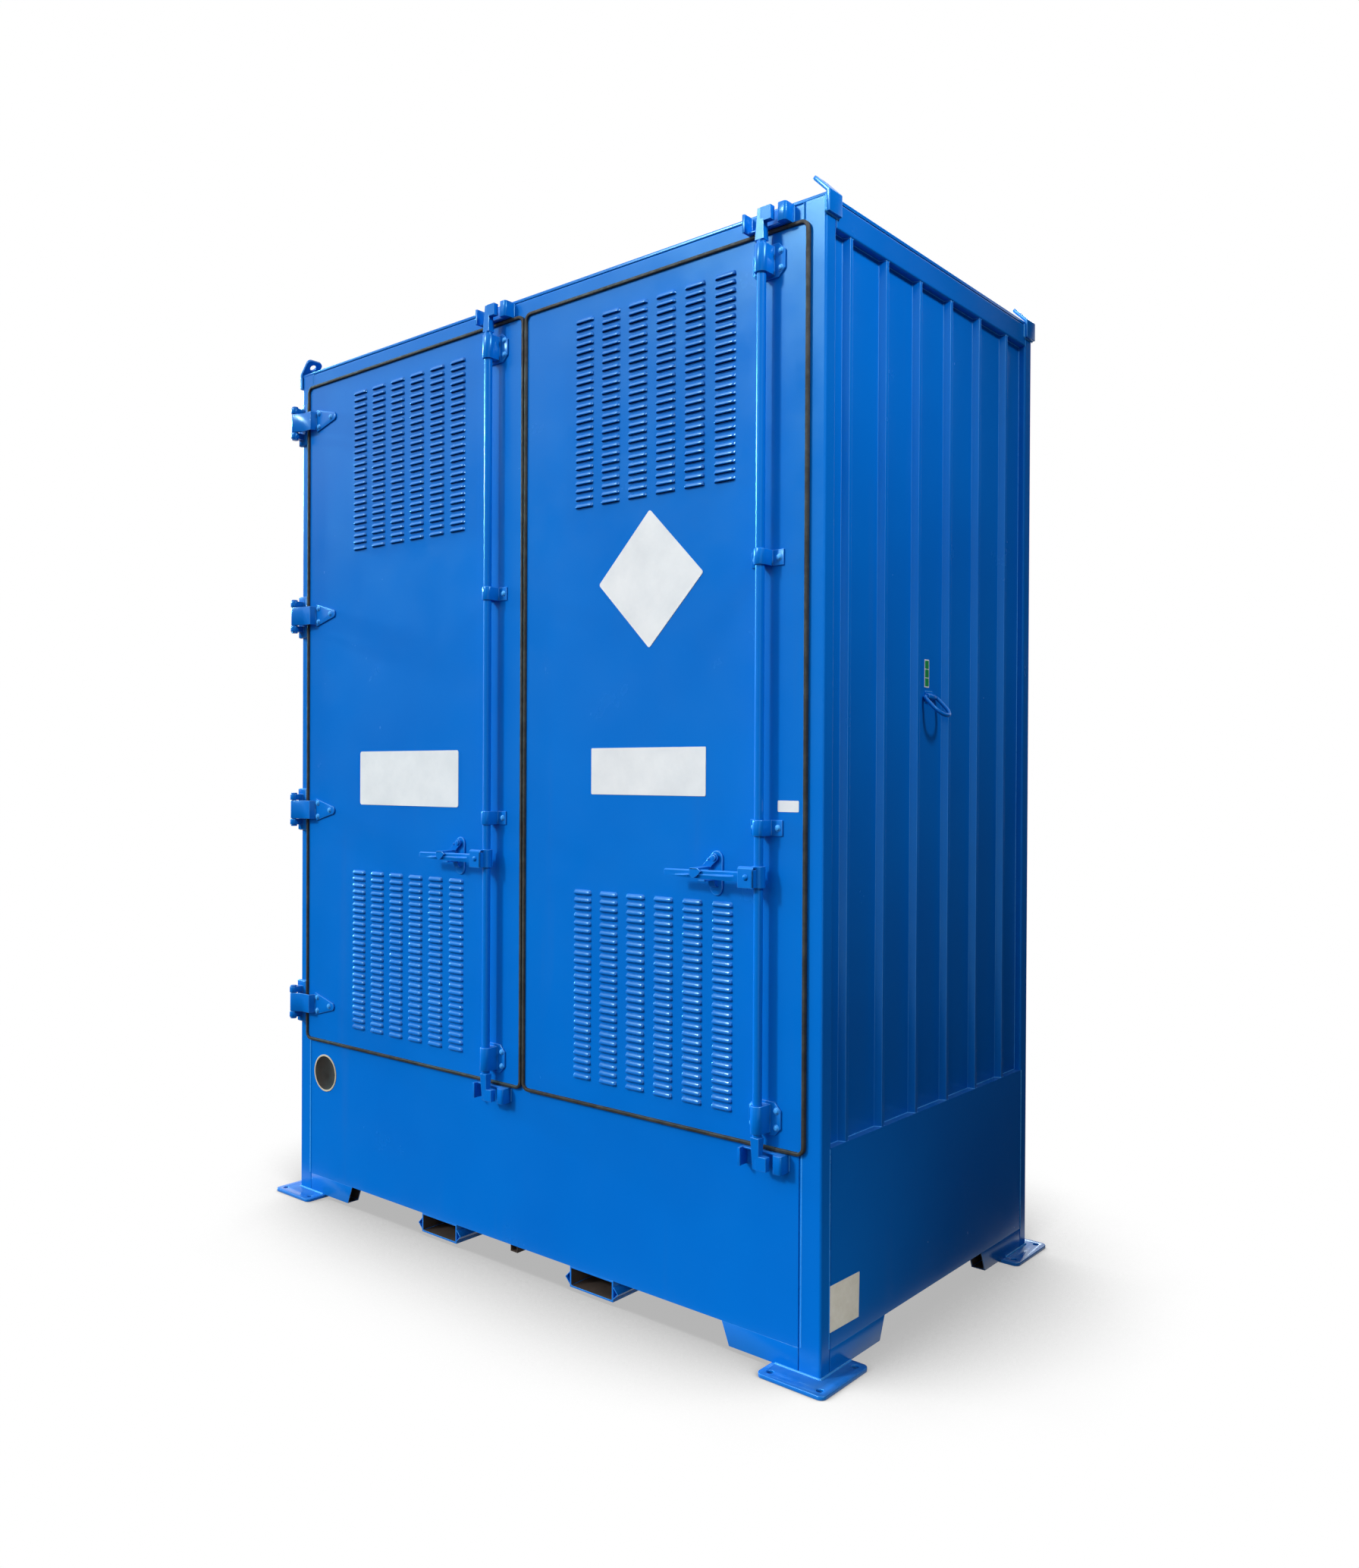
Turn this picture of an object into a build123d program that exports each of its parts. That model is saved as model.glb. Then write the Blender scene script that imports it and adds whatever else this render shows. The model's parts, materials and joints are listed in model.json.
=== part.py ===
from build123d import *
import os
from math import cos, radians, sin, tan

# Corrosive substance store: a steel cabinet that stands outdoors on four anchored feet, with a
# spill sump, two tiers for bulk containers and a folding pair of louvred, gasketed doors.
# Lengths are in millimetres, +Z is up and the front faces -Y.
# The origin is the centre of the outer anchor holes, at floor level.

# Overall
WIDTH = 2500.0
DEPTH = 1320.0
POST_HEIGHT = 3258.0
OVERRUN = 20.0

# Base plates
PLATE_SIZE_X = 225.0
PLATE_SIZE_Y = 240.0
PLATE_THICKNESS = 12.0
PLATE_CORNER = 20.0
PLATE_SIDE_OVERHANG = 60.0
PLATE_FRONT_OVERHANG = 78.0
PLATE_REAR_OVERHANG = 50.0
ANCHOR_HOLE = 20.0
ANCHOR_INSET = 30.0

# Corner posts and top rails
POST_X = 75.0
POST_Y = 50.0
POST_WALL = 4.0
POST_CORNER = 7.0
RAIL_HEIGHT = 75.0
SIDE_RAIL_WIDTH = 50.0
RAIL_WALL = 4.0
RAIL_CORNER = 6.0

# Foot stubs, the box sections beside each post under the sump
SUMP_CLEARANCE = 68.0
STUB_DEPTH = 50.0
STUB_REACH_TOP = 345.0
STUB_REACH_BOTTOM = 318.0
STUB_WALL = 4.0

# Sump tub
SUMP_TOP_HEIGHT = 630.0
SUMP_WALL = 6.0
SUMP_RIM_WIDTH = 60.0
SUMP_RIM_THICKNESS = 6.0

# Fork pockets, their angles and the bearer between them
POCKET_WIDTH = 192.0
POCKET_WALL = 6.0
POCKET_SPACING = 757.0
POCKET_SHIFT = -3.5
ANGLE_LEG = 30.0
ANGLE_THICKNESS = 3.0
ANGLE_HEIGHT = 29.0
CENTRE_BEARER_WIDTH = 34.0
CENTRE_BEARER_HEIGHT = 30.0
CENTRE_BEARER_SETBACK = 15.0
CENTRE_BEARER_WALL = 3.0

# Roof sheet, a shallow pan upside down
ROOF_LIP = 10.0
ROOF_SHEET = 3.0

# Lifting lugs, bent plates at the roof's corners
LUG_THICKNESS = 12.0
LUG_WIDTH = 66.0
LUG_OVERHANG = 5.0
LUG_DROP = 56.0
LUG_SLANT = 71.0
LUG_ANGLE = 45.0
LUG_CORNER = 16.0
LUG_EYE = 25.0
LUG_EYE_DISTANCE = 42.0

# Ribbed walls
WALL_RECESS = 24.0
WALL_SHEET = 2.5
RIB_PITCH = 199.0
RIB_HEIGHT = 21.0
RIB_TOP = 14.0
RIB_FOOT = 34.0
SIDE_RIB_START = 84.0

# Floor and upper tier
BEARER_WIDTH = 50.0
BEARER_HEIGHT = 80.0
BEARER_WALL = 4.0
BEARER_COUNT = 5
GRATING_THICKNESS = 30.0
GRATING_BAR = 9.0
GRATING_EDGE = 12.0
GRATING_SLOTS = 13
GRATING_PANELS = 3
GRATING_GAP = 4.0
DECK_HEIGHT = 1930.0
DECK_BEAM_WIDTH = 50.0
DECK_BEAM_HEIGHT = 80.0
DECK_BEAM_WALL = 4.0
DECK_BEAM_COUNT = 4
DECK_FRONT_SETBACK = 95.0
DECK_REAR_SETBACK = 40.0

# Door leaves
SEAM_SHIFT = 56.0
SEAM_GAP = 12.0
OPENING_GAP = 5.0
LEAF_GAP_Z = 6.0
SKIN_PROUD = 5.0
SKIN_THICKNESS = 3.0
LEAF_DEPTH = 50.0
LEAF_TUBE_WIDTH = 50.0
LEAF_TUBE_WALL = 3.0
HIGH_RAIL_DROP = 115.5
GASKET_WIDTH = 11.0
GASKET_PROUD = 13.0
GASKET_LAP = 25.0
GASKET_CORNER = 28.0
GASKET_SEAT_GAP = 0.3
GASKET_SEAM_GAP = 4.0

# Louvre columns
LOUVRE_COLUMNS = 6
LOUVRE_ROWS = 25
LOUVRE_WIDTH = 76.0
LOUVRE_COLUMN_PITCH = 113.8
LOUVRE_LEFT_SHIFT = -11.5
LOUVRE_RIGHT_SHIFT = 4.5
LOUVRE_PITCH = 24.7
LOUVRE_HOOD = 14.0
LOUVRE_DEPTH = 9.0
LOUVRE_TOP_INSET = 46.0
LOUVRE_BOTTOM_INSET = 40.0
LOUVRE_HANDLE_GAP = 83.0

# Hinges on the left post
PIN_X = 10.0
PIN_PROUD = 42.0
PIN_DIAMETER = 16.0
PIN_HEAD = 24.0
PIN_HEAD_THICKNESS = 6.0
PIN_CLEARANCE = 0.06
HINGE_BOTTOM_INSET = 117.0
HINGE_TOP_INSET = 114.0
HINGE_COUNT = 4
KNUCKLE_DIAMETER = 26.0
EAR_DIAMETER = 30.0
EAR_THICKNESS = 23.0
EAR_CLEARANCE = 1.5
LUG_PLATE_HEIGHT = 163.0
LUG_PLATE_THICKNESS = 10.0
LUG_PLATE_REACH = 45.0
LUG_WRAP = 38.0
STRAP_HEIGHT = 72.0
STRAP_THICKNESS = 7.0
STRAP_FLAT_PROUD = 35.0
STRAP_FLAT_START = 53.0
STRAP_FLAT_END = 104.0
STRAP_PAD_START = 112.0
STRAP_PAD_END = 236.0
STRAP_PAD_HEIGHT = 88.0
STRAP_PAD_THICKNESS = 6.0
STRAP_TIP_RADIUS = 16.0
STRAP_ROOT_SHARE = 0.7
STRAP_BOLT_X = 128.0
STRAP_BOLT_TIP_X = 206.0
STRAP_BOLT_SPREAD = 26.0

# Bolt heads
BOLT_HEAD = 17.0
BOLT_HEAD_HEIGHT = 7.0

# Concealed fold hinges at the seam
FOLD_STANDOFF = 8.0
FOLD_KNUCKLE = 18.0
FOLD_PIN = 12.0
FOLD_PLATE_WIDTH = 62.0
FOLD_PLATE_THICKNESS = 5.0
FOLD_HEIGHT = 120.0
FOLD_MIDDLE = 46.0
FOLD_KNUCKLE_GAP = 1.0
FOLD_NOTCH_GAP = 0.6
FOLD_BOTTOM_INSET = 144.0
FOLD_TOP_INSET = 147.0
FOLD_COUNT = 4

# Lock rods, their cams and bearings
ROD_DIAMETER = 27.0
ROD_PROUD = 45.0
ROD_LEFT_INSET = 133.0
ROD_RIGHT_INSET = 107.0
ROD_CLEARANCE = 0.08
BEARING_INSET = 60.0
BEARING_HEIGHT = 79.0
BEARING_DIAMETER = 40.0
BEARING_PLATE_WIDTH = 112.0
BEARING_PLATE_HEIGHT = 96.0
BEARING_PLATE_THICKNESS = 6.0
BEARING_PLATE_CHAMFER = 22.0
BEARING_BOLT_X = 42.0
BEARING_BOLT_Z = 24.0
GUIDE_HEIGHT = 45.0
GUIDE_WIDTH = 112.0
GUIDE_THICKNESS = 5.0
GUIDE_BOLT_X = 41.0
GUIDE_HANDLE_GAP = 138.0
GUIDE_TOP_INSET = 896.0
CAM_ARM_WIDTH = 30.0
CAM_ARM_TIP_WIDTH = 21.0
CAM_ARM_TIP_DEPTH = 16.0
CAM_NOSE_REACH = 37.0
CAM_NOSE_DEPTH = 20.0
CAM_NOSE_HEIGHT = 40.0
CAM_END_GAP = 3.0

# Cam keepers on the header and the sump
KEEPER_LEFT_REACH = 72.0
KEEPER_RIGHT_REACH = 79.0
KEEPER_HEIGHT = 52.0
KEEPER_PLATE = 4.0
KEEPER_GASKET_GAP = 2.0
KEEPER_JAW_PROUD = 42.0
KEEPER_LEFT_JAW = 9.0
KEEPER_RIGHT_JAW = 31.0
KEEPER_JAW_ROUND = 9.0
KEEPER_SHELF_PROUD = 24.0
KEEPER_SHELF_THICKNESS = 5.0

# Handles, hubs and their rivets
HANDLE_HEIGHT = 1380.0
HUB_DIAMETER = 39.0
HUB_HEIGHT = 61.0
CHEEK_REACH = 49.0
CHEEK_THICKNESS = 8.0
RIVET_OFFSET = 19.0
RIVET_DIAMETER = 12.0
RIVET_HEAD = 24.0
RIVET_HEAD_HEIGHT = 6.0
RIVET_CLEARANCE = 0.06
HANDLE_LENGTH = 308.0
HANDLE_ROOT_HEIGHT = 30.0
HANDLE_TIP_HEIGHT = 21.0
HANDLE_THICKNESS = 10.0
HANDLE_SIDE_GAP = 0.3

# Handle keepers and catches
HOLD_OFFSET = 178.0
HOLD_WIDTH = 46.0
HOLD_HEIGHT = 131.0
HOLD_THICKNESS = 6.0
HOLD_CORNER = 22.0
HOLD_BOLT_SPREAD = 45.0
CRADLE_REACH = 74.0
CRADLE_THICKNESS = 6.0
CRADLE_DROP = 24.0
CRADLE_GAP = 0.5
CATCH_PIN = 12.0
CATCH_PIN_HEAD = 20.0
CATCH_PIN_HEAD_HEIGHT = 5.0
CATCH_THICKNESS = 5.0
CATCH_EYE = 26.0
CATCH_HOOD_START = 15.0
CATCH_HOOD_WIDTH = 30.0
CATCH_SIDE_GAP = 1.0
CATCH_CLEARANCE = 0.06

# Pull ring on the right wall
RING_BAY = 2
RING_HEIGHT = 1916.0
RING_WIRE = 12.0
RING_WIDTH = 93.0
RING_LENGTH = 95.0
RING_LEAN = 45.0
RING_BAR_CORNER = 12.0
RING_BOW_FLAT = 2.0
RING_CLEARANCE = 0.08
RING_BRACKET_HEIGHT = 34.0
RING_BRACKET_BAND = 48.0
RING_BRACKET_WALL = 4.0

# Places that follow from the sizes
LEFT = -WIDTH / 2
RIGHT = WIDTH / 2
FRONT = (PLATE_FRONT_OVERHANG - PLATE_REAR_OVERHANG - DEPTH) / 2
REAR = FRONT + DEPTH
BASE = PLATE_THICKNESS
SUMP_BOTTOM = BASE + SUMP_CLEARANCE
SUMP_FLOOR_TOP = SUMP_BOTTOM + SUMP_WALL
SUMP_TOP = BASE + SUMP_TOP_HEIGHT
POST_TOP = BASE + POST_HEIGHT
RAIL_BOTTOM = POST_TOP - RAIL_HEIGHT
ROOF_TOP = POST_TOP + ROOF_LIP
SEAM = SEAM_SHIFT
SKIN_FRONT = FRONT - SKIN_PROUD
SKIN_BACK = SKIN_FRONT + SKIN_THICKNESS
LEAF_BACK = SKIN_FRONT + LEAF_DEPTH
LEAF_BOTTOM = SUMP_TOP + LEAF_GAP_Z
LEAF_TOP = RAIL_BOTTOM - LEAF_GAP_Z
GASKET_BOTTOM = SUMP_TOP - GASKET_LAP
GASKET_TOP = RAIL_BOTTOM + GASKET_LAP
ROD_Y = FRONT - ROD_PROUD
HANDLE_Z = BASE + HANDLE_HEIGHT
LOUVRE_UPPER_TOP = LEAF_TOP - LOUVRE_TOP_INSET
LOUVRE_LOWER_TOP = HANDLE_Z - LOUVRE_HANDLE_GAP
LOUVRE_LOWER_ROWS = int((LOUVRE_LOWER_TOP - LEAF_BOTTOM - LOUVRE_BOTTOM_INSET) // LOUVRE_PITCH)
HIGH_RAIL_Z = LOUVRE_UPPER_TOP - LOUVRE_ROWS * LOUVRE_PITCH - HIGH_RAIL_DROP
RING_Y = FRONT + POST_Y + SIDE_RIB_START + (RING_BAY + 0.5) * RIB_PITCH

# Planes whose normals run along the axes: local x, y are Y, Z on ALONG_X and Z, X on ALONG_Y
ALONG_X = Plane(origin=(0, 0, 0), x_dir=(0, 1, 0), z_dir=(1, 0, 0))
ALONG_Y = Plane(origin=(0, 0, 0), x_dir=(0, 0, 1), z_dir=(0, 1, 0))
ALONG_Z = Plane.XY


def block(x0, x1, y0, y1, z0, z1):
    """Box between two corners."""
    corner = (Align.MIN, Align.MIN, Align.MIN)
    return Pos(x0, y0, z0) * Box(x1 - x0, y1 - y0, z1 - z0, align=corner)


def prism(plane, face, start, end):
    """Face drawn on a plane, extruded between two places along its normal."""
    return extrude(plane.offset(start) * face, amount=end - start)


def outline(*points):
    """Closed straight-sided face through the points."""
    return make_face(Polyline(*points, close=True))


def rod(plane, u, v, diameter, start, end):
    """Round bar along a plane's normal."""
    return prism(plane, Pos(u, v) * Circle(diameter / 2), start, end)


def box_section(plane, centre, size, wall, corner, start, end):
    """Rectangular hollow section along a plane's normal, open at both ends."""
    outer = RectangleRounded(size[0], size[1], corner)
    inner = Rectangle(size[0] - 2 * wall, size[1] - 2 * wall)
    return prism(plane, Pos(*centre) * (outer - inner), start, end)


def spread(first, last, count):
    """Evenly spaced places from the first to the last."""
    return [first + (last - first) * index / (count - 1) for index in range(count)]


def both_sides(part):
    """The part and its mirror image in the middle plane of the store."""
    return [part, part.mirror(Plane.YZ)]


def group(*parts):
    """One node of separate solids."""
    solids = []
    for part in parts:
        items = part if isinstance(part, list) else [part]
        for item in items:
            solids.extend(item.solids())
    return Compound(children=solids)


def bolt_head(x, y, z):
    """Hexagon head on a surface that faces the front."""
    head = RegularPolygon(BOLT_HEAD / 2, side_count=6)
    return prism(ALONG_Y, Pos(z, x) * head, y - BOLT_HEAD_HEIGHT, y)


# Frame


def post(y_centre):
    """Corner post on the left."""
    centre = (LEFT + POST_X / 2, y_centre)
    return box_section(ALONG_Z, centre, (POST_X, POST_Y), POST_WALL, POST_CORNER, BASE, POST_TOP)


def posts_front():
    return group(both_sides(post(FRONT + POST_Y / 2)))


def posts_rear():
    return group(both_sides(post(REAR - POST_Y / 2)))


def cross_rail(y_centre):
    """Top rail between two posts."""
    centre = (y_centre, POST_TOP - RAIL_HEIGHT / 2)
    size = (POST_Y, RAIL_HEIGHT)
    start = LEFT + POST_X
    return box_section(ALONG_X, centre, size, RAIL_WALL, RAIL_CORNER, start, -start)


def header():
    return group(cross_rail(FRONT + POST_Y / 2))


def top_rails():
    centre = (POST_TOP - RAIL_HEIGHT / 2, LEFT + SIDE_RAIL_WIDTH / 2)
    size = (RAIL_HEIGHT, SIDE_RAIL_WIDTH)
    side = box_section(ALONG_Y, centre, size, RAIL_WALL, RAIL_CORNER, FRONT + POST_Y, REAR - POST_Y)
    return group(cross_rail(REAR - POST_Y / 2), both_sides(side))


def roof_sheet():
    pan = block(LEFT, RIGHT, FRONT, REAR, POST_TOP, ROOF_TOP)
    left_inside = LEFT + ROOF_SHEET
    front_inside = FRONT + ROOF_SHEET
    rear_inside = REAR - ROOF_SHEET
    hollow = block(left_inside, -left_inside, front_inside, rear_inside, POST_TOP, ROOF_TOP - ROOF_SHEET)
    return group(pan - hollow)


def base_plate(y_outer, inward):
    """Left base plate; y_outer is its outer edge and inward the sign towards the middle."""
    x_outer = LEFT - PLATE_SIDE_OVERHANG
    centre = (x_outer + PLATE_SIZE_X / 2, y_outer + inward * PLATE_SIZE_Y / 2)
    plate = Pos(*centre) * RectangleRounded(PLATE_SIZE_X, PLATE_SIZE_Y, PLATE_CORNER)
    near_x = x_outer + ANCHOR_INSET
    far_x = x_outer + PLATE_SIZE_X - ANCHOR_INSET
    near_y = y_outer + inward * ANCHOR_INSET
    far_y = y_outer + inward * (PLATE_SIZE_Y - ANCHOR_INSET)
    for place in [(near_x, near_y), (far_x, near_y), (near_x, far_y)]:
        plate -= Pos(*place) * Circle(ANCHOR_HOLE / 2)
    return prism(ALONG_Z, plate, 0, BASE)


def base_plates():
    front = base_plate(FRONT - PLATE_FRONT_OVERHANG, 1)
    rear = base_plate(REAR + PLATE_REAR_OVERHANG, -1)
    return group(both_sides(front), both_sides(rear))


def stub(plane, side_start, side_end, post_end, outer, inward):
    """Box section from a post to its slanted open end; outer is the store's outer face."""
    top_end = outer + inward * STUB_REACH_TOP
    bottom_end = outer + inward * STUB_REACH_BOTTOM
    start = outer + inward * post_end
    ends = [(start, BASE), (start, SUMP_BOTTOM), (top_end, SUMP_BOTTOM), (bottom_end, BASE)]
    past = top_end + inward * OVERRUN
    low = BASE + STUB_WALL
    high = SUMP_BOTTOM - STUB_WALL
    inside = [(start - inward * OVERRUN, low), (start - inward * OVERRUN, high), (past, high), (past, low)]
    if plane is ALONG_Y:
        ends = [(z, x) for x, z in ends]
        inside = [(z, x) for x, z in inside]
    shell = prism(plane, outline(*ends), side_start, side_end)
    hollow = prism(plane, outline(*inside), side_start + STUB_WALL, side_end - STUB_WALL)
    return shell - hollow


def foot_stubs():
    front = stub(ALONG_Y, FRONT, FRONT + STUB_DEPTH, POST_X, LEFT, 1)
    rear = stub(ALONG_Y, REAR - STUB_DEPTH, REAR, POST_X, LEFT, 1)
    side_front = stub(ALONG_X, LEFT, LEFT + STUB_DEPTH, POST_Y, FRONT, 1)
    side_rear = stub(ALONG_X, LEFT, LEFT + STUB_DEPTH, POST_Y, REAR, -1)
    return group(both_sides(front), both_sides(rear), both_sides(side_front), both_sides(side_rear))


def lifting_lug(y_start):
    """Bent plate on the left: down the side face, and slanted over the roof with an eye."""
    face = LEFT
    outer = LEFT - LUG_THICKNESS
    bottom = ROOF_TOP - LUG_DROP
    bend = ROOF_TOP + LUG_THICKNESS * tan(radians(LUG_ANGLE / 2))
    across = LUG_THICKNESS * cos(radians(LUG_ANGLE))
    rise = LUG_THICKNESS * sin(radians(LUG_ANGLE))
    upright = outline(
        (face, bottom),
        (face, ROOF_TOP),
        (face - across, ROOF_TOP + rise),
        (outer, bend),
        (outer, bottom),
    )
    upright_xz = Plane(origin=(0, 0, 0), x_dir=(1, 0, 0), z_dir=(0, -1, 0))
    part = prism(upright_xz, upright, -y_start - LUG_WIDTH, -y_start)
    slant = Plane(
        origin=(face, y_start, ROOF_TOP),
        x_dir=(0, 1, 0),
        z_dir=(-cos(radians(LUG_ANGLE)), 0, sin(radians(LUG_ANGLE))),
    )
    tongue = Pos(LUG_WIDTH / 2, -LUG_SLANT / 2) * Rectangle(LUG_WIDTH, LUG_SLANT)
    high = tongue.vertices().sort_by(Axis.Y)[:2]
    tongue = fillet(high, LUG_CORNER)
    tongue -= Pos(LUG_WIDTH / 2, -LUG_EYE_DISTANCE) * Circle(LUG_EYE / 2)
    return part + prism(slant, tongue, 0, LUG_THICKNESS)


def lifting_lugs():
    front = lifting_lug(FRONT - LUG_OVERHANG)
    rear = lifting_lug(REAR + LUG_OVERHANG - LUG_WIDTH)
    return group(both_sides(front), both_sides(rear))


# Under the sump


def pocket_centres():
    return [POCKET_SHIFT - POCKET_SPACING / 2, POCKET_SHIFT + POCKET_SPACING / 2]


def fork_pockets():
    pockets = []
    for x in pocket_centres():
        outer = block(x - POCKET_WIDTH / 2, x + POCKET_WIDTH / 2, FRONT, REAR, BASE, SUMP_BOTTOM)
        half = POCKET_WIDTH / 2 - POCKET_WALL
        low = BASE + POCKET_WALL
        high = SUMP_BOTTOM - POCKET_WALL
        pockets.append(outer - block(x - half, x + half, FRONT - OVERRUN, REAR + OVERRUN, low, high))
    return group(*pockets)


def pocket_angles():
    """Angles toe to the pocket's side, with the heel outwards."""
    heel = ANGLE_LEG / 2**0.5
    inner_heel = heel - ANGLE_THICKNESS * 2**0.5
    z = BASE + ANGLE_HEIGHT
    angles = []
    for x in pocket_centres():
        for side in (-1, 1):
            wall = x + side * POCKET_WIDTH / 2
            shape = outline(
                (z - heel, wall),
                (z, wall + side * heel),
                (z + heel, wall),
                (z + inner_heel, wall),
                (z, wall + side * inner_heel),
                (z - inner_heel, wall),
            )
            angles.append(prism(ALONG_Y, shape, FRONT, REAR))
    return group(*angles)


def centre_bearer():
    x = POCKET_SHIFT
    half = CENTRE_BEARER_WIDTH / 2
    low = SUMP_BOTTOM - CENTRE_BEARER_HEIGHT
    start = FRONT + CENTRE_BEARER_SETBACK
    end = REAR - CENTRE_BEARER_SETBACK
    outer = block(x - half, x + half, start, end, low, SUMP_BOTTOM)
    wall = CENTRE_BEARER_WALL
    left = x - half + wall
    right = x + half - wall
    inner = block(left, right, start - OVERRUN, end + OVERRUN, low + wall, SUMP_BOTTOM - wall)
    return group(outer - inner)


# Sump and tiers


def sump_floor():
    """Floor plate of the tub, notched round the posts."""
    plate = block(LEFT, RIGHT, FRONT, REAR, SUMP_BOTTOM, SUMP_FLOOR_TOP)
    low = SUMP_BOTTOM - OVERRUN
    high = SUMP_FLOOR_TOP + OVERRUN
    for y0, y1 in [(FRONT, FRONT + POST_Y), (REAR - POST_Y, REAR)]:
        for notch in both_sides(block(LEFT, LEFT + POST_X, y0, y1, low, high)):
            plate -= notch
    return group(plate)


def sump_walls():
    """Front, rear and side plates of the tub, between the corners and under the rim."""
    left = LEFT + POST_X + SUMP_WALL
    start = FRONT + POST_Y + SUMP_WALL
    end = REAR - POST_Y - SUMP_WALL
    top = SUMP_TOP - SUMP_RIM_THICKNESS
    front = block(left, -left, FRONT, FRONT + SUMP_WALL, SUMP_FLOOR_TOP, top)
    rear = block(left, -left, REAR - SUMP_WALL, REAR, SUMP_FLOOR_TOP, top)
    side = block(LEFT, LEFT + SUMP_WALL, start, end, SUMP_FLOOR_TOP, top)
    return group(front, rear, both_sides(side))


def sump_corners():
    """Angles that carry the tub's walls round the posts."""
    right = LEFT + POST_X + SUMP_WALL
    corners = []
    for y, inward in [(FRONT, 1), (REAR, -1)]:
        back = y + inward * (POST_Y + SUMP_WALL)
        post_back = y + inward * POST_Y
        corner = block(LEFT, right, min(y, back), max(y, back), SUMP_FLOOR_TOP, SUMP_TOP)
        corner -= block(LEFT, LEFT + POST_X, min(y, post_back), max(y, post_back), SUMP_FLOOR_TOP, SUMP_TOP)
        corners += both_sides(corner)
    return group(*corners)


def sump_rim():
    """Flat strips round the tub's mouth, which the walls and the doors stand over."""
    left = LEFT + POST_X + SUMP_WALL
    low = SUMP_TOP - SUMP_RIM_THICKNESS
    start = FRONT + POST_Y + SUMP_WALL
    end = REAR - POST_Y - SUMP_WALL
    front = block(left, -left, FRONT, FRONT + SUMP_RIM_WIDTH, low, SUMP_TOP)
    rear = block(left, -left, REAR - SUMP_RIM_WIDTH, REAR, low, SUMP_TOP)
    side = block(LEFT, left, start, end, low, SUMP_TOP)
    return group(front, rear, both_sides(side))


def floor_bearers():
    """Box beams across the tub, from its front wall to its rear wall."""
    top = SUMP_TOP - GRATING_THICKNESS
    height = top - BEARER_HEIGHT / 2
    size = (BEARER_HEIGHT, BEARER_WIDTH)
    wall = BEARER_WALL
    start = FRONT + SUMP_WALL
    end = REAR - SUMP_WALL
    first = LEFT + POST_X + SUMP_WALL + BEARER_WIDTH / 2
    beams = []
    for x in spread(first, -first, BEARER_COUNT):
        beams.append(box_section(ALONG_Y, (height, x), size, wall, wall, start, end))
    return group(*beams)


def grating(x0, x1, y0, y1, top):
    """Panels of slotted grating side by side."""
    width = (x1 - x0 - GRATING_GAP * (GRATING_PANELS - 1)) / GRATING_PANELS
    slot = (width - 2 * GRATING_EDGE - GRATING_BAR * (GRATING_SLOTS - 1)) / GRATING_SLOTS
    panels = []
    for index in range(GRATING_PANELS):
        left = x0 + index * (width + GRATING_GAP)
        face = Pos(left + width / 2, (y0 + y1) / 2) * Rectangle(width, y1 - y0)
        for row in range(GRATING_SLOTS):
            x = left + GRATING_EDGE + slot / 2 + row * (slot + GRATING_BAR)
            face -= Pos(x, (y0 + y1) / 2) * Rectangle(slot, y1 - y0 - 2 * GRATING_EDGE)
        panels.append(prism(ALONG_Z, face, top - GRATING_THICKNESS, top))
    return group(*panels)


def floor_grating():
    left = LEFT + POST_X + SUMP_WALL + GRATING_GAP
    front = FRONT + SUMP_RIM_WIDTH + GRATING_GAP
    rear = REAR - SUMP_RIM_WIDTH - GRATING_GAP
    return grating(left, -left, front, rear, SUMP_TOP)


def wall_inside():
    """Inner face of the left wall's sheet."""
    return LEFT + WALL_RECESS + WALL_SHEET


def deck_beams():
    """Two side rails between the posts, and cross beams between the rails."""
    top = BASE + DECK_HEIGHT
    rail_x = wall_inside() + DECK_BEAM_WIDTH / 2
    height = top - DECK_BEAM_HEIGHT / 2
    wall = DECK_BEAM_WALL
    size = (DECK_BEAM_HEIGHT, DECK_BEAM_WIDTH)
    rail = box_section(ALONG_Y, (height, rail_x), size, wall, wall, FRONT + POST_Y, REAR - POST_Y)
    start = FRONT + DECK_FRONT_SETBACK + DECK_BEAM_WIDTH / 2
    end = REAR - DECK_REAR_SETBACK - wall_depth() - DECK_BEAM_WIDTH / 2
    left = wall_inside() + DECK_BEAM_WIDTH
    size = (DECK_BEAM_WIDTH, DECK_BEAM_HEIGHT)
    beams = []
    for y in spread(start, end, DECK_BEAM_COUNT):
        beams.append(box_section(ALONG_X, (y, height), size, wall, wall, left, -left))
    return group(both_sides(rail), *beams)


def wall_depth():
    """From a post's outer face to the inner face of a wall's sheet."""
    return WALL_RECESS + WALL_SHEET


def deck_grating():
    left = LEFT + POST_X + GRATING_GAP
    front = FRONT + DECK_FRONT_SETBACK
    rear = REAR - wall_depth() - DECK_REAR_SETBACK
    return grating(left, -left, front, rear, BASE + DECK_HEIGHT + GRATING_THICKNESS)


# Walls


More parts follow.
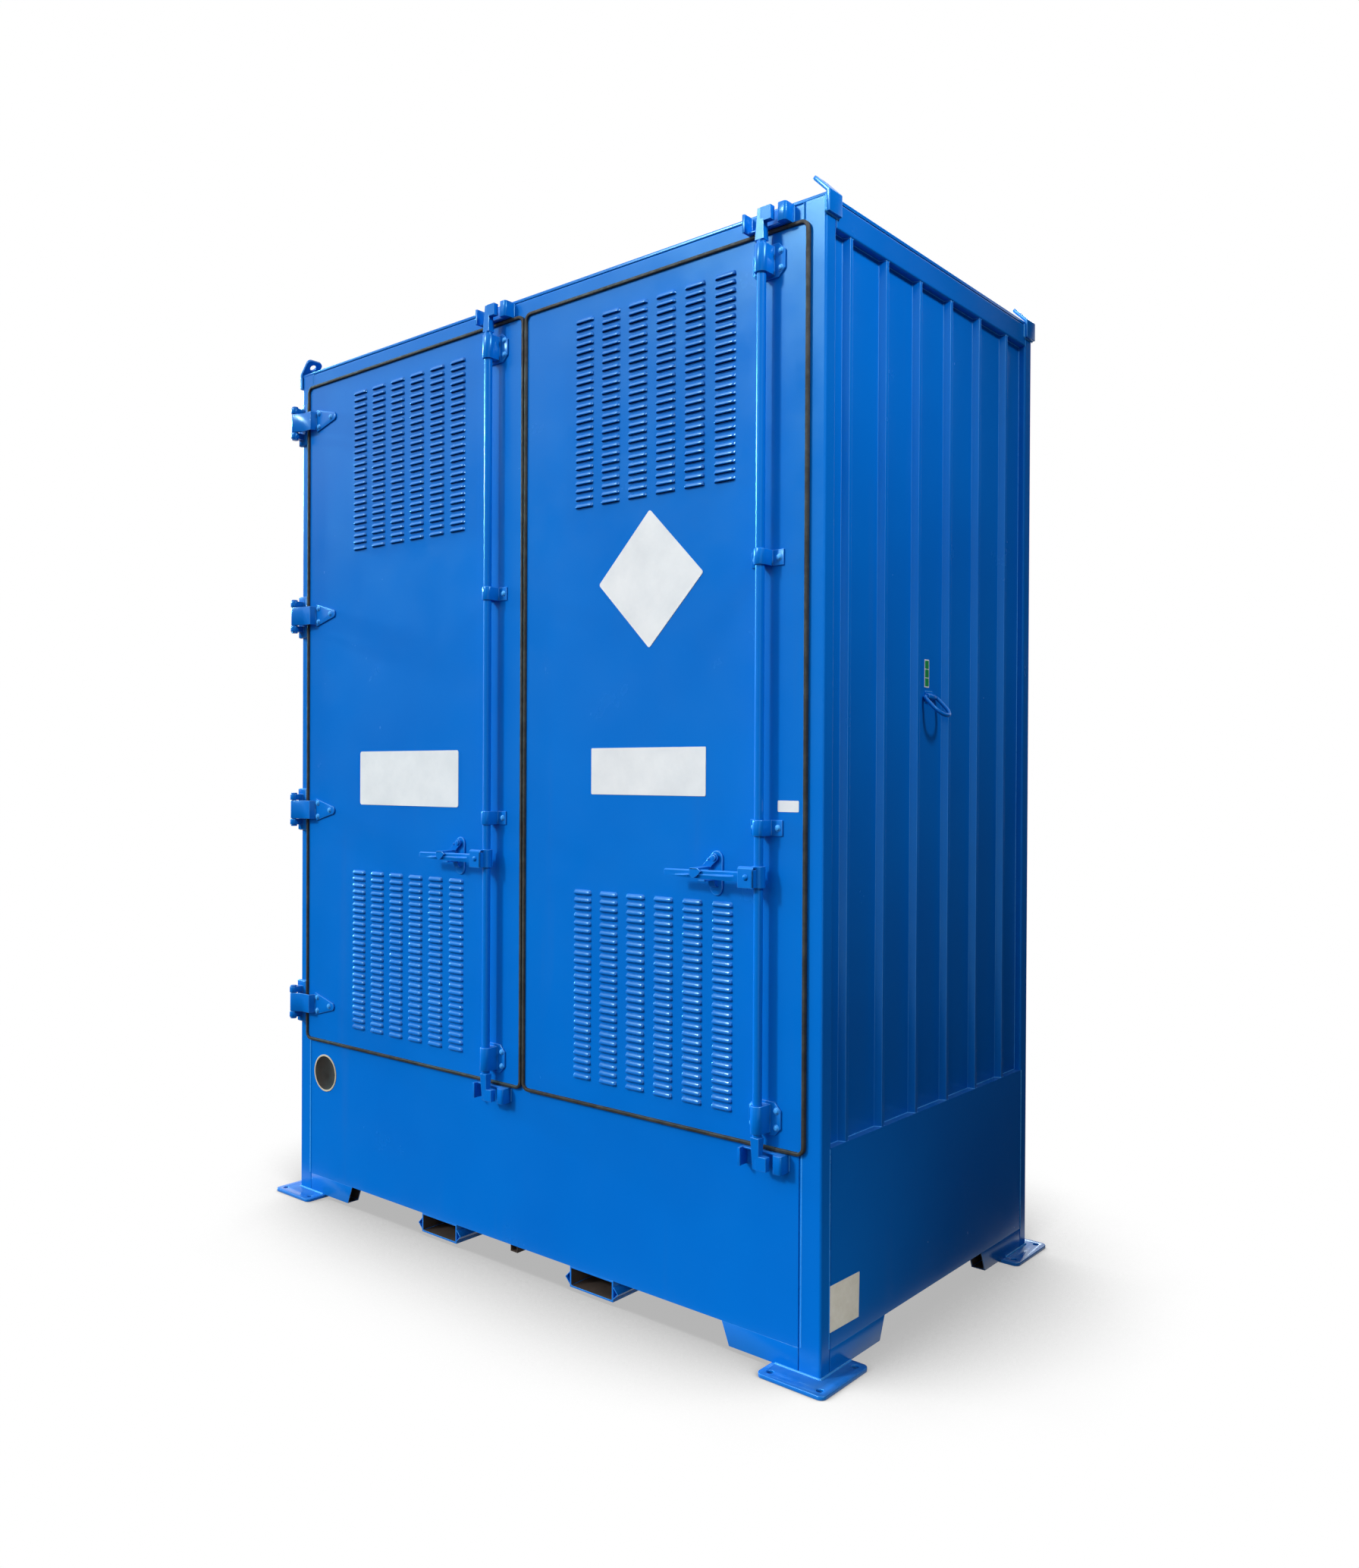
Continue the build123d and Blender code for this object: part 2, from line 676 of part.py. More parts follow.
def ribbed_profile(length, first, count):
    """Sheet along local x with top-hat ribs towards local +y, as one thin closed outline."""
    slope = (RIB_FOOT - RIB_TOP) / 2
    inset = WALL_SHEET * (RIB_HEIGHT**2 + slope**2) ** 0.5 / RIB_HEIGHT
    corner = inset - WALL_SHEET * slope / RIB_HEIGHT
    outer = [(0, 0)]
    inner = [(0, -WALL_SHEET)]
    for index in range(count):
        middle = first + index * RIB_PITCH
        foot = RIB_FOOT / 2
        top = RIB_TOP / 2
        outer += [
            (middle - foot, 0),
            (middle - top, RIB_HEIGHT),
            (middle + top, RIB_HEIGHT),
            (middle + foot, 0),
        ]
        low = -WALL_SHEET
        high = RIB_HEIGHT - WALL_SHEET
        inner += [
            (middle - foot + corner, low),
            (middle - top + corner, high),
            (middle + top - corner, high),
            (middle + foot - corner, low),
        ]
    outer.append((length, 0))
    inner.append((length, -WALL_SHEET))
    return outline(*outer, *reversed(inner))


def side_wall():
    """Left wall between the posts, ribs outwards."""
    length = DEPTH - 2 * POST_Y
    count = int((length - SIDE_RIB_START - RIB_FOOT) // RIB_PITCH) + 1
    profile = ribbed_profile(length, SIDE_RIB_START, count)
    corner = (LEFT + WALL_RECESS, FRONT + POST_Y, SUMP_TOP)
    place = Plane(origin=corner, x_dir=(0, 1, 0), z_dir=(0, 0, 1))
    return extrude(place * profile, amount=RAIL_BOTTOM - SUMP_TOP)


def wall_left():
    return group(side_wall())


def wall_right():
    return group(side_wall().mirror(Plane.YZ))


def wall_rear():
    length = WIDTH - 2 * POST_X
    count = int((length - 2 * RIB_FOOT) // RIB_PITCH) + 1
    first = (length - (count - 1) * RIB_PITCH) / 2
    profile = ribbed_profile(length, first, count)
    corner = (LEFT + POST_X, REAR - WALL_RECESS, SUMP_TOP)
    place = Plane(origin=corner, x_dir=(1, 0, 0), z_dir=(0, 0, 1))
    return group(extrude(place * profile, amount=RAIL_BOTTOM - SUMP_TOP))


# Door leaves


def leaf_edges(side):
    """Left and right edges of a leaf's frame."""
    if side == "left":
        return LEFT + POST_X + OPENING_GAP, SEAM - SEAM_GAP / 2
    return SEAM + SEAM_GAP / 2, RIGHT - POST_X - OPENING_GAP


def gasket_edges(side):
    """Outer edges of a leaf's gasket."""
    lap = POST_X - GASKET_LAP
    if side == "left":
        return LEFT + lap, SEAM - GASKET_SEAM_GAP / 2
    return SEAM + GASKET_SEAM_GAP / 2, RIGHT - lap


def rounded_panel(x0, x1, z0, z1, corner, y0, y1):
    """Flat panel that faces the front, with rounded corners."""
    face = Pos((z0 + z1) / 2, (x0 + x1) / 2) * RectangleRounded(z1 - z0, x1 - x0, corner)
    return prism(ALONG_Y, face, y0, y1)


def louvre_places(side):
    """Left edges of a leaf's louvre columns."""
    shift = LOUVRE_LEFT_SHIFT if side == "left" else LOUVRE_RIGHT_SHIFT
    middle = sum(leaf_edges(side)) / 2 + shift
    half = (LOUVRE_COLUMNS - 1) * LOUVRE_COLUMN_PITCH / 2
    first = middle - half - LOUVRE_WIDTH / 2
    return [first + index * LOUVRE_COLUMN_PITCH for index in range(LOUVRE_COLUMNS)]


def leaf_skin(side):
    x0, x1 = gasket_edges(side)
    x0 += GASKET_WIDTH
    x1 -= GASKET_WIDTH
    z0 = GASKET_BOTTOM + GASKET_WIDTH
    z1 = GASKET_TOP - GASKET_WIDTH
    corner = GASKET_CORNER - GASKET_WIDTH
    face = Pos((z0 + z1) / 2, (x0 + x1) / 2) * RectangleRounded(z1 - z0, x1 - x0, corner)
    for top, rows in [(LOUVRE_UPPER_TOP, LOUVRE_ROWS), (LOUVRE_LOWER_TOP, LOUVRE_LOWER_ROWS)]:
        height = rows * LOUVRE_PITCH
        for x in louvre_places(side):
            face -= Pos(top - height / 2, x + LOUVRE_WIDTH / 2) * Rectangle(height, LOUVRE_WIDTH)
    return group(prism(ALONG_Y, face, SKIN_FRONT, SKIN_BACK))


def leaf_frame(side):
    """Two stiles and four rails of box section behind the skin."""
    x0, x1 = leaf_edges(side)
    depth = LEAF_BACK - SKIN_BACK
    y = (LEAF_BACK + SKIN_BACK) / 2
    width = LEAF_TUBE_WIDTH
    wall = LEAF_TUBE_WALL
    tubes = []
    for x in (x0 + width / 2, x1 - width / 2):
        tubes.append(box_section(ALONG_Z, (x, y), (width, depth), wall, wall, LEAF_BOTTOM, LEAF_TOP))
    heights = [LEAF_BOTTOM + width / 2, HANDLE_Z, HIGH_RAIL_Z, LEAF_TOP - width / 2]
    for z in heights:
        tubes.append(box_section(ALONG_X, (y, z), (depth, width), wall, wall, x0 + width, x1 - width))
    return group(*tubes)


def louvre_strip(x, top, rows):
    """One pressed column: hoods that slope out and turn back under."""
    points = [(SKIN_BACK, top), (SKIN_FRONT, top)]
    hood_front = SKIN_FRONT - LOUVRE_DEPTH
    for row in range(rows):
        start = top - row * LOUVRE_PITCH
        if row:
            points.append((SKIN_FRONT, start))
        points.append((hood_front, start - LOUVRE_HOOD))
        points.append((SKIN_FRONT, start - LOUVRE_HOOD))
    bottom = top - rows * LOUVRE_PITCH
    points += [(SKIN_FRONT, bottom), (SKIN_BACK, bottom)]
    return prism(ALONG_X, outline(*points), x, x + LOUVRE_WIDTH)


def louvres(side, top, rows):
    return group(*[louvre_strip(x, top, rows) for x in louvre_places(side)])


def gasket(side):
    """Bulb seal round the leaf's skin; it laps the opening and stands on the frame at the seam."""
    x0, x1 = gasket_edges(side)
    front = FRONT - GASKET_PROUD
    back = FRONT - GASKET_SEAT_GAP
    ring = rounded_panel(x0, x1, GASKET_BOTTOM, GASKET_TOP, GASKET_CORNER, front, back)
    width = GASKET_WIDTH
    ring -= rounded_panel(
        x0 + width,
        x1 - width,
        GASKET_BOTTOM + width,
        GASKET_TOP - width,
        GASKET_CORNER - width,
        front - OVERRUN,
        back + OVERRUN,
    )
    frame_x0, frame_x1 = leaf_edges(side)
    ring -= block(frame_x0, frame_x1, SKIN_BACK, LEAF_BACK, LEAF_BOTTOM, LEAF_TOP)
    return group(ring)


# Hinges on the left post


def hinge_heights():
    return spread(LEAF_BOTTOM + HINGE_BOTTOM_INSET, LEAF_TOP - HINGE_TOP_INSET, HINGE_COUNT)


def at_heights(part, heights):
    """Copies of a part made about z = 0, moved to the heights."""
    return group(*[Pos(0, 0, z) * part for z in heights])


def hinge_lugs():
    """Plate round the post's corner with two ears that hold the pin."""
    pin_x = LEFT + PIN_X
    pin_y = FRONT - PIN_PROUD
    half = LUG_PLATE_HEIGHT / 2
    plate_front = FRONT - LUG_PLATE_THICKNESS
    plate = block(LEFT - LUG_PLATE_THICKNESS, LEFT + LUG_PLATE_REACH, plate_front, FRONT, -half, half)
    plate += block(LEFT - LUG_PLATE_THICKNESS, LEFT, plate_front, FRONT + LUG_WRAP, -half, half)
    neck = outline(
        (pin_x - EAR_DIAMETER / 2, pin_y),
        (pin_x + EAR_DIAMETER / 2, pin_y),
        (pin_x + EAR_DIAMETER / 2, plate_front),
        (pin_x - EAR_DIAMETER / 2, plate_front),
    )
    ear = neck + Pos(pin_x, pin_y) * Circle(EAR_DIAMETER / 2)
    ear -= Pos(pin_x, pin_y) * Circle(PIN_DIAMETER / 2)
    inner = STRAP_HEIGHT / 2 + EAR_CLEARANCE
    plate += prism(ALONG_Z, ear, inner, inner + EAR_THICKNESS)
    plate += prism(ALONG_Z, ear, -inner - EAR_THICKNESS, -inner)
    return at_heights(plate, hinge_heights())


def hinge_pins():
    """Headed pins through the ears."""
    pin_x = LEFT + PIN_X
    pin_y = FRONT - PIN_PROUD
    outer = STRAP_HEIGHT / 2 + EAR_CLEARANCE + EAR_THICKNESS
    pin = rod(ALONG_Z, pin_x, pin_y, PIN_DIAMETER, -outer, outer)
    pin += rod(ALONG_Z, pin_x, pin_y, PIN_HEAD, outer, outer + PIN_HEAD_THICKNESS)
    pin += rod(ALONG_Z, pin_x, pin_y, PIN_HEAD, -outer - PIN_HEAD_THICKNESS, -outer)
    return at_heights(pin, hinge_heights())


def hinge_straps():
    """Cranked straps: a knuckle on the pin, a blade over the gasket and a tapered pad."""
    pin_x = LEFT + PIN_X
    pin_y = FRONT - PIN_PROUD
    radius = KNUCKLE_DIAMETER / 2
    flat_front = FRONT - STRAP_FLAT_PROUD
    flat_back = flat_front + STRAP_THICKNESS
    pad_front = SKIN_FRONT - STRAP_PAD_THICKNESS
    knuckle_edge = pin_x + radius
    profile = outline(
        (pin_x, pin_y - radius),
        (knuckle_edge, pin_y - radius * STRAP_ROOT_SHARE),
        (LEFT + STRAP_FLAT_START, flat_front),
        (LEFT + STRAP_FLAT_END, flat_front),
        (LEFT + STRAP_PAD_START, pad_front),
        (LEFT + STRAP_PAD_START + STRAP_THICKNESS, pad_front),
        (LEFT + STRAP_PAD_START + STRAP_THICKNESS, SKIN_FRONT),
        (LEFT + STRAP_PAD_START - STRAP_THICKNESS, SKIN_FRONT),
        (LEFT + STRAP_FLAT_END - STRAP_THICKNESS, flat_back),
        (LEFT + STRAP_FLAT_START, flat_back),
        (knuckle_edge, pin_y + radius / 2),
        (pin_x, pin_y + radius / 2),
    )
    half = STRAP_HEIGHT / 2
    strap = prism(ALONG_Z, profile, -half, half)
    strap += rod(ALONG_Z, pin_x, pin_y, KNUCKLE_DIAMETER, -half, half)
    bore = PIN_DIAMETER + 2 * PIN_CLEARANCE
    strap -= rod(ALONG_Z, pin_x, pin_y, bore, -half - OVERRUN, half + OVERRUN)
    pad_half = STRAP_PAD_HEIGHT / 2
    tip_x = LEFT + STRAP_PAD_END - STRAP_TIP_RADIUS
    pad = outline(
        (-pad_half, LEFT + STRAP_PAD_START),
        (pad_half, LEFT + STRAP_PAD_START),
        (STRAP_TIP_RADIUS, tip_x),
        (-STRAP_TIP_RADIUS, tip_x),
    )
    pad += Pos(0, tip_x) * Circle(STRAP_TIP_RADIUS)
    strap += prism(ALONG_Y, pad, pad_front, SKIN_FRONT)
    return at_heights(strap, hinge_heights())


def strap_bolts():
    pad_front = SKIN_FRONT - STRAP_PAD_THICKNESS
    heads = [
        bolt_head(LEFT + STRAP_BOLT_X, pad_front, STRAP_BOLT_SPREAD),
        bolt_head(LEFT + STRAP_BOLT_X, pad_front, -STRAP_BOLT_SPREAD),
        bolt_head(LEFT + STRAP_BOLT_TIP_X, pad_front, 0),
    ]
    return at_heights(group(*heads), hinge_heights())


# Concealed hinges between the leaves


def fold_heights():
    return spread(LEAF_BOTTOM + FOLD_BOTTOM_INSET, LEAF_TOP - FOLD_TOP_INSET, FOLD_COUNT)


def fold_axis_y():
    return LEAF_BACK + FOLD_STANDOFF


def fold_plate(sign):
    """Plate on a leaf's inner face, up to the seam's edge; sign is -1 for the left leaf."""
    near = SEAM + sign * SEAM_GAP / 2
    far = SEAM + sign * FOLD_PLATE_WIDTH
    half = FOLD_HEIGHT / 2
    return block(min(near, far), max(near, far), LEAF_BACK, LEAF_BACK + FOLD_PLATE_THICKNESS, -half, half)


def fold_segment(diameter, z0, z1):
    return rod(ALONG_Z, SEAM, fold_axis_y(), diameter, z0, z1)


def fold_hinge_left():
    half = FOLD_HEIGHT / 2
    middle = FOLD_MIDDLE / 2
    notch = FOLD_KNUCKLE + 2 * FOLD_NOTCH_GAP
    hinge = fold_plate(-1) - fold_segment(notch, -middle - FOLD_KNUCKLE_GAP, middle + FOLD_KNUCKLE_GAP)
    for z0, z1 in [(-half, -middle - FOLD_KNUCKLE_GAP), (middle + FOLD_KNUCKLE_GAP, half)]:
        hinge += fold_segment(FOLD_KNUCKLE, z0, z1)
    hinge -= fold_segment(FOLD_PIN, -half - OVERRUN, half + OVERRUN)
    return at_heights(hinge, fold_heights())


def fold_hinge_right():
    half = FOLD_HEIGHT / 2
    middle = FOLD_MIDDLE / 2
    notch = FOLD_KNUCKLE + 2 * FOLD_NOTCH_GAP
    hinge = fold_plate(1)
    for z0, z1 in [(-half - OVERRUN, -middle), (middle, half + OVERRUN)]:
        hinge -= fold_segment(notch, z0, z1)
    hinge += fold_segment(FOLD_KNUCKLE, -middle, middle)
    hinge -= fold_segment(FOLD_PIN + 2 * PIN_CLEARANCE, -half, half)
    return at_heights(hinge, fold_heights())


def fold_pins():
    half = FOLD_HEIGHT / 2
    return at_heights(fold_segment(FOLD_PIN, -half, half), fold_heights())


# Lock rods


def rod_x(side):
    inset = ROD_LEFT_INSET if side == "left" else ROD_RIGHT_INSET
    return leaf_edges(side)[1] - inset


def bearing_heights():
    """Middles of the rod bearings at the foot and the head of a leaf."""
    return [LEAF_BOTTOM + BEARING_INSET, LEAF_TOP - BEARING_INSET]


def keeper_top():
    """Lower edge of the keepers on the header."""
    return GASKET_TOP + KEEPER_GASKET_GAP


def keeper_bottom():
    """Upper edge of the keepers on the sump."""
    return GASKET_BOTTOM - KEEPER_GASKET_GAP


def cam_arm(x, start, end):
    """Tapered arm from the bearing to the cam's nose, along Z."""
    grow = 1 if end > start else -1
    root = Plane.XY.offset(start) * Rectangle(CAM_ARM_WIDTH, ROD_DIAMETER)
    tip = Plane.XY.offset(end) * Rectangle(CAM_ARM_TIP_WIDTH, CAM_ARM_TIP_DEPTH)
    arm = loft([root, tip] if grow > 0 else [tip, root])
    nose_low = min(end, end - grow * CAM_NOSE_HEIGHT)
    half = CAM_NOSE_DEPTH / 2
    nose = block(0, CAM_NOSE_REACH, -half, half, nose_low, nose_low + CAM_NOSE_HEIGHT)
    return Pos(x, ROD_Y, 0) * (arm + nose)


def lock_rod(side):
    """Full-height rod with a cam at each end."""
    x = rod_x(side)
    low, high = bearing_heights()
    low_end = low - BEARING_HEIGHT / 2 - CAM_END_GAP
    high_end = high + BEARING_HEIGHT / 2 + CAM_END_GAP
    top = keeper_top() + KEEPER_SHELF_THICKNESS + CAM_END_GAP + CAM_NOSE_HEIGHT
    bottom = keeper_bottom() - KEEPER_SHELF_THICKNESS - CAM_END_GAP - CAM_NOSE_HEIGHT
    bar = rod(ALONG_Z, x, ROD_Y, ROD_DIAMETER, low_end, high_end)
    return group(bar + cam_arm(x, high_end, top) + cam_arm(x, low_end, bottom))


def rod_bearings(side):
    """Tubular bearings on eight-sided plates."""
    x = rod_x(side)
    radius = BEARING_DIAMETER / 2
    plate_front = SKIN_FRONT - BEARING_PLATE_THICKNESS
    half_width = BEARING_PLATE_WIDTH / 2
    half_height = BEARING_PLATE_HEIGHT / 2
    cut = BEARING_PLATE_CHAMFER
    plate = outline(
        (-half_height, x - half_width + cut),
        (-half_height + cut, x - half_width),
        (half_height - cut, x - half_width),
        (half_height, x - half_width + cut),
        (half_height, x + half_width - cut),
        (half_height - cut, x + half_width),
        (-half_height + cut, x + half_width),
        (-half_height, x + half_width - cut),
    )
    half = BEARING_HEIGHT / 2
    bearing = prism(ALONG_Y, plate, plate_front, SKIN_FRONT)
    bearing += block(x - radius, x + radius, ROD_Y, plate_front, -half, half)
    bearing += rod(ALONG_Z, x, ROD_Y, BEARING_DIAMETER, -half, half)
    bore = ROD_DIAMETER + 2 * ROD_CLEARANCE
    bearing -= rod(ALONG_Z, x, ROD_Y, bore, -half - OVERRUN, half + OVERRUN)
    return at_heights(bearing, bearing_heights())


def guide_heights():
    return [HANDLE_Z + GUIDE_HANDLE_GAP, LEAF_TOP - GUIDE_TOP_INSET]


def rod_guides(side):
    """Saddle clamps: a band over the rod with a foot on each side."""
    x = rod_x(side)
    bore = ROD_DIAMETER / 2 + ROD_CLEARANCE
    outer = bore + GUIDE_THICKNESS
    foot_front = SKIN_FRONT - GUIDE_THICKNESS
    half_width = GUIDE_WIDTH / 2
    band = Pos(x, ROD_Y) * Circle(outer)
    band += Pos(x, (ROD_Y + SKIN_FRONT) / 2) * Rectangle(2 * outer, SKIN_FRONT - ROD_Y)
    band += Pos(x, (foot_front + SKIN_FRONT) / 2) * Rectangle(2 * half_width, GUIDE_THICKNESS)
    band -= Pos(x, ROD_Y) * Circle(bore)
    band -= Pos(x, (ROD_Y + SKIN_FRONT) / 2) * Rectangle(2 * bore, SKIN_FRONT - ROD_Y)
    half = GUIDE_HEIGHT / 2
    return at_heights(prism(ALONG_Z, band, -half, half), guide_heights())


def lock_bolts(side):
    """Heads on the bearings' plates and the guides' feet."""
    x = rod_x(side)
    heads = []
    for z in bearing_heights():
        for dx in (-BEARING_BOLT_X, BEARING_BOLT_X):
            for dz in (-BEARING_BOLT_Z, BEARING_BOLT_Z):
                heads.append(bolt_head(x + dx, SKIN_FRONT - BEARING_PLATE_THICKNESS, z + dz))
    for z in guide_heights():
        for dx in (-GUIDE_BOLT_X, GUIDE_BOLT_X):
            heads.append(bolt_head(x + dx, SKIN_FRONT - GUIDE_THICKNESS, z))
    return group(*heads)


def cam_keeper(x, near, away):
    """Keeper with two jaws; near is its edge by the gasket and away the sign from it."""
    far = near + away * KEEPER_HEIGHT
    z0, z1 = min(near, far), max(near, far)
    left = x - KEEPER_LEFT_REACH
    right = x + KEEPER_RIGHT_REACH
    jaw_front = FRONT - KEEPER_JAW_PROUD
    keeper = block(left, right, FRONT - KEEPER_PLATE, FRONT, z0, z1)
    keeper += block(left, left + KEEPER_LEFT_JAW, jaw_front, FRONT, z0, z1)
    jaw = block(right - KEEPER_RIGHT_JAW, right, jaw_front, FRONT, z0, z1)
    jaw = fillet(jaw.edges().filter_by(Axis.Z).group_by(Axis.Y)[0], KEEPER_JAW_ROUND)
    keeper += jaw
    shelf_front = FRONT - KEEPER_SHELF_PROUD
    shelf_far = near + away * KEEPER_SHELF_THICKNESS
    keeper += block(left, right, shelf_front, FRONT, min(near, shelf_far), max(near, shelf_far))
    return keeper


def header_keepers():
    return group(*[cam_keeper(rod_x(side), keeper_top(), 1) for side in ("left", "right")])


def sill_keepers():
    return group(*[cam_keeper(rod_x(side), keeper_bottom(), -1) for side in ("left", "right")])


# Handles


def handle_back():
    """Rear face of a handle's bar."""
    return ROD_Y - ROD_DIAMETER / 2 - CHEEK_THICKNESS


def handle_hub(side):
    """Collar on the rod with a cheek, and the rivet that carries the handle."""
    x = rod_x(side)
    z = HANDLE_Z
    half = HUB_HEIGHT / 2
    rivet_x = x - RIVET_OFFSET
    cheek_front = handle_back() + HANDLE_SIDE_GAP
    collar = rod(ALONG_Z, x, ROD_Y, HUB_DIAMETER, z - half, z + half)
    cheek = block(x - CHEEK_REACH, x, cheek_front, cheek_front + CHEEK_THICKNESS, z - half, z + half)
    hub = collar + cheek
    hub -= rod(ALONG_Z, x, ROD_Y, ROD_DIAMETER, z - half - OVERRUN, z + half + OVERRUN)
    front = handle_back() - HANDLE_THICKNESS - HANDLE_SIDE_GAP
    hub += rod(ALONG_Y, z, rivet_x, RIVET_DIAMETER, front, cheek_front)
    hub += rod(ALONG_Y, z, rivet_x, RIVET_HEAD, front - RIVET_HEAD_HEIGHT, front)
    return group(hub)


def handle(side):
    """Tapered bar that lifts about the rivet."""
    x = rod_x(side) - RIVET_OFFSET
    z = HANDLE_Z
    root = HANDLE_ROOT_HEIGHT / 2
    tip = HANDLE_TIP_HEIGHT / 2
    tip_x = x - HANDLE_LENGTH + tip
    face = outline((z - root, x), (z + root, x), (z + tip, tip_x), (z - tip, tip_x))
    face += Pos(z, x) * Circle(root)
    face += Pos(z, tip_x) * Circle(tip)
    face -= Pos(z, x) * Circle(RIVET_DIAMETER / 2 + RIVET_CLEARANCE)
    back = handle_back()
    return group(prism(ALONG_Y, face, back - HANDLE_THICKNESS, back))


def handle_half_height(distance):
    """Half the bar's height at a distance from the rivet."""
    span = HANDLE_LENGTH - HANDLE_TIP_HEIGHT / 2
    return (HANDLE_ROOT_HEIGHT - (HANDLE_ROOT_HEIGHT - HANDLE_TIP_HEIGHT) * distance / span) / 2


def hold_x(side):
    return rod_x(side) - HOLD_OFFSET


def catch_front():
    """Front of the catch's plate."""
    return handle_back() - HANDLE_THICKNESS - CATCH_SIDE_GAP - CATCH_THICKNESS


def handle_keeper(side):
    """Oblong plate with a cradle under the handle and the catch's pivot above it."""
    x = hold_x(side)
    z = HANDLE_Z
    half_width = HOLD_WIDTH / 2
    plate_front = SKIN_FRONT - HOLD_THICKNESS
    half_height = HOLD_HEIGHT / 2
    keeper = rounded_panel(
        x - half_width,
        x + half_width,
        z - half_height,
        z + half_height,
        HOLD_CORNER,
        plate_front,
        SKIN_FRONT,
    )
    distance = rod_x(side) - RIVET_OFFSET - x - half_width
    ledge_top = z - handle_half_height(distance - CRADLE_REACH / 2) - CRADLE_GAP
    ledge_front = handle_back() - HANDLE_THICKNESS
    ledge_right = x - half_width + CRADLE_REACH
    ledge_low = ledge_top - CRADLE_THICKNESS
    keeper += block(x - half_width, ledge_right, ledge_front, SKIN_FRONT, ledge_low, ledge_top)
    web_low = ledge_low - CRADLE_DROP
    keeper += block(
        x - CRADLE_THICKNESS / 2,
        x + CRADLE_THICKNESS / 2,
        ledge_front,
        SKIN_FRONT,
        web_low,
        ledge_low,
    )
    pin_z = z + HOLD_BOLT_SPREAD
    pin_front = catch_front() - CATCH_SIDE_GAP
    keeper += rod(ALONG_Y, pin_z, x, CATCH_PIN, pin_front, plate_front)
    keeper += rod(ALONG_Y, pin_z, x, CATCH_PIN_HEAD, pin_front - CATCH_PIN_HEAD_HEIGHT, pin_front)
    return group(keeper)


def catch(side):
    """Plate on the pivot with a hood over the handle's upper edge."""
    x = hold_x(side)
    pin_z = HANDLE_Z + HOLD_BOLT_SPREAD
    front = catch_front()
    back = front + CATCH_THICKNESS
    hood_right = x - CATCH_HOOD_START
    hood_left = hood_right - CATCH_HOOD_WIDTH
    distance = rod_x(side) - RIVET_OFFSET - hood_right
    hood_low = HANDLE_Z + handle_half_height(distance) + CRADLE_GAP
    hood_high = hood_low + CATCH_THICKNESS
    face = outline(
        (hood_low, hood_left),
        (hood_high + CATCH_EYE / 2, hood_left),
        (pin_z + CATCH_EYE / 2, x),
        (pin_z, x + CATCH_EYE / 2),
        (hood_low, hood_right),
    )
    face += Pos(pin_z, x) * Circle(CATCH_EYE / 2)
    face -= Pos(pin_z, x) * Circle(CATCH_PIN / 2 + CATCH_CLEARANCE)
    part = prism(ALONG_Y, face, front, back)
    part += block(hood_left, hood_right, front, handle_back(), hood_low, hood_high)
    return group(part)


# Pull ring


def ring_axis():
    """Place of the ring's straight bar, beside the right wall's sheet."""
    return RIGHT - WALL_RECESS + RING_WIRE / 2 + RING_CLEARANCE, BASE + RING_HEIGHT


def ring_bracket():
    """Saddle over the ring's bar, with a foot above and below on the wall's sheet."""
    x, z = ring_axis()
    sheet = RIGHT - WALL_RECESS
    bore = RING_WIRE / 2 + RING_CLEARANCE
    outer = bore + RING_BRACKET_WALL
    shape = Pos(z, x) * Circle(outer)
    shape += Pos(z, (sheet + x) / 2) * Rectangle(2 * outer, x - sheet)
    shape += Pos(z, sheet + RING_BRACKET_WALL / 2) * Rectangle(RING_BRACKET_HEIGHT, RING_BRACKET_WALL)
    shape -= Pos(z, x) * Circle(bore)
    shape -= Pos(z, (sheet + x) / 2) * Rectangle(2 * bore, x - sheet)
    shape -= Pos(z, sheet - outer / 2) * Rectangle(2 * outer, outer)
    half = RING_BRACKET_BAND / 2
    return group(prism(ALONG_Y, shape, RING_Y - half, RING_Y + half))


def pull_ring():
    """Closed D of round wire; its straight bar turns in the saddle."""
    x, z = ring_axis()
    width = RING_WIDTH - RING_WIRE
    length = RING_LENGTH - RING_WIRE
    lean = radians(RING_LEAN)
    loop = Plane(origin=(x, RING_Y, z), x_dir=(0, 1, 0), z_dir=(cos(lean), 0, sin(lean)))
    face = Pos(0, -length / 2) * Rectangle(width, length)
    by_height = face.vertices().group_by(Axis.Y)
    face = fillet(by_height[-1], RING_BAR_CORNER)
    face = fillet(face.vertices().group_by(Axis.Y)[0], width / 2 - RING_BOW_FLAT)
    path = (loop * face).wire()
    start = path.position_at(0)
    section = Plane(origin=start, z_dir=path.tangent_at(0)) * Circle(RING_WIRE / 2)
    return group(sweep(section, path=path))


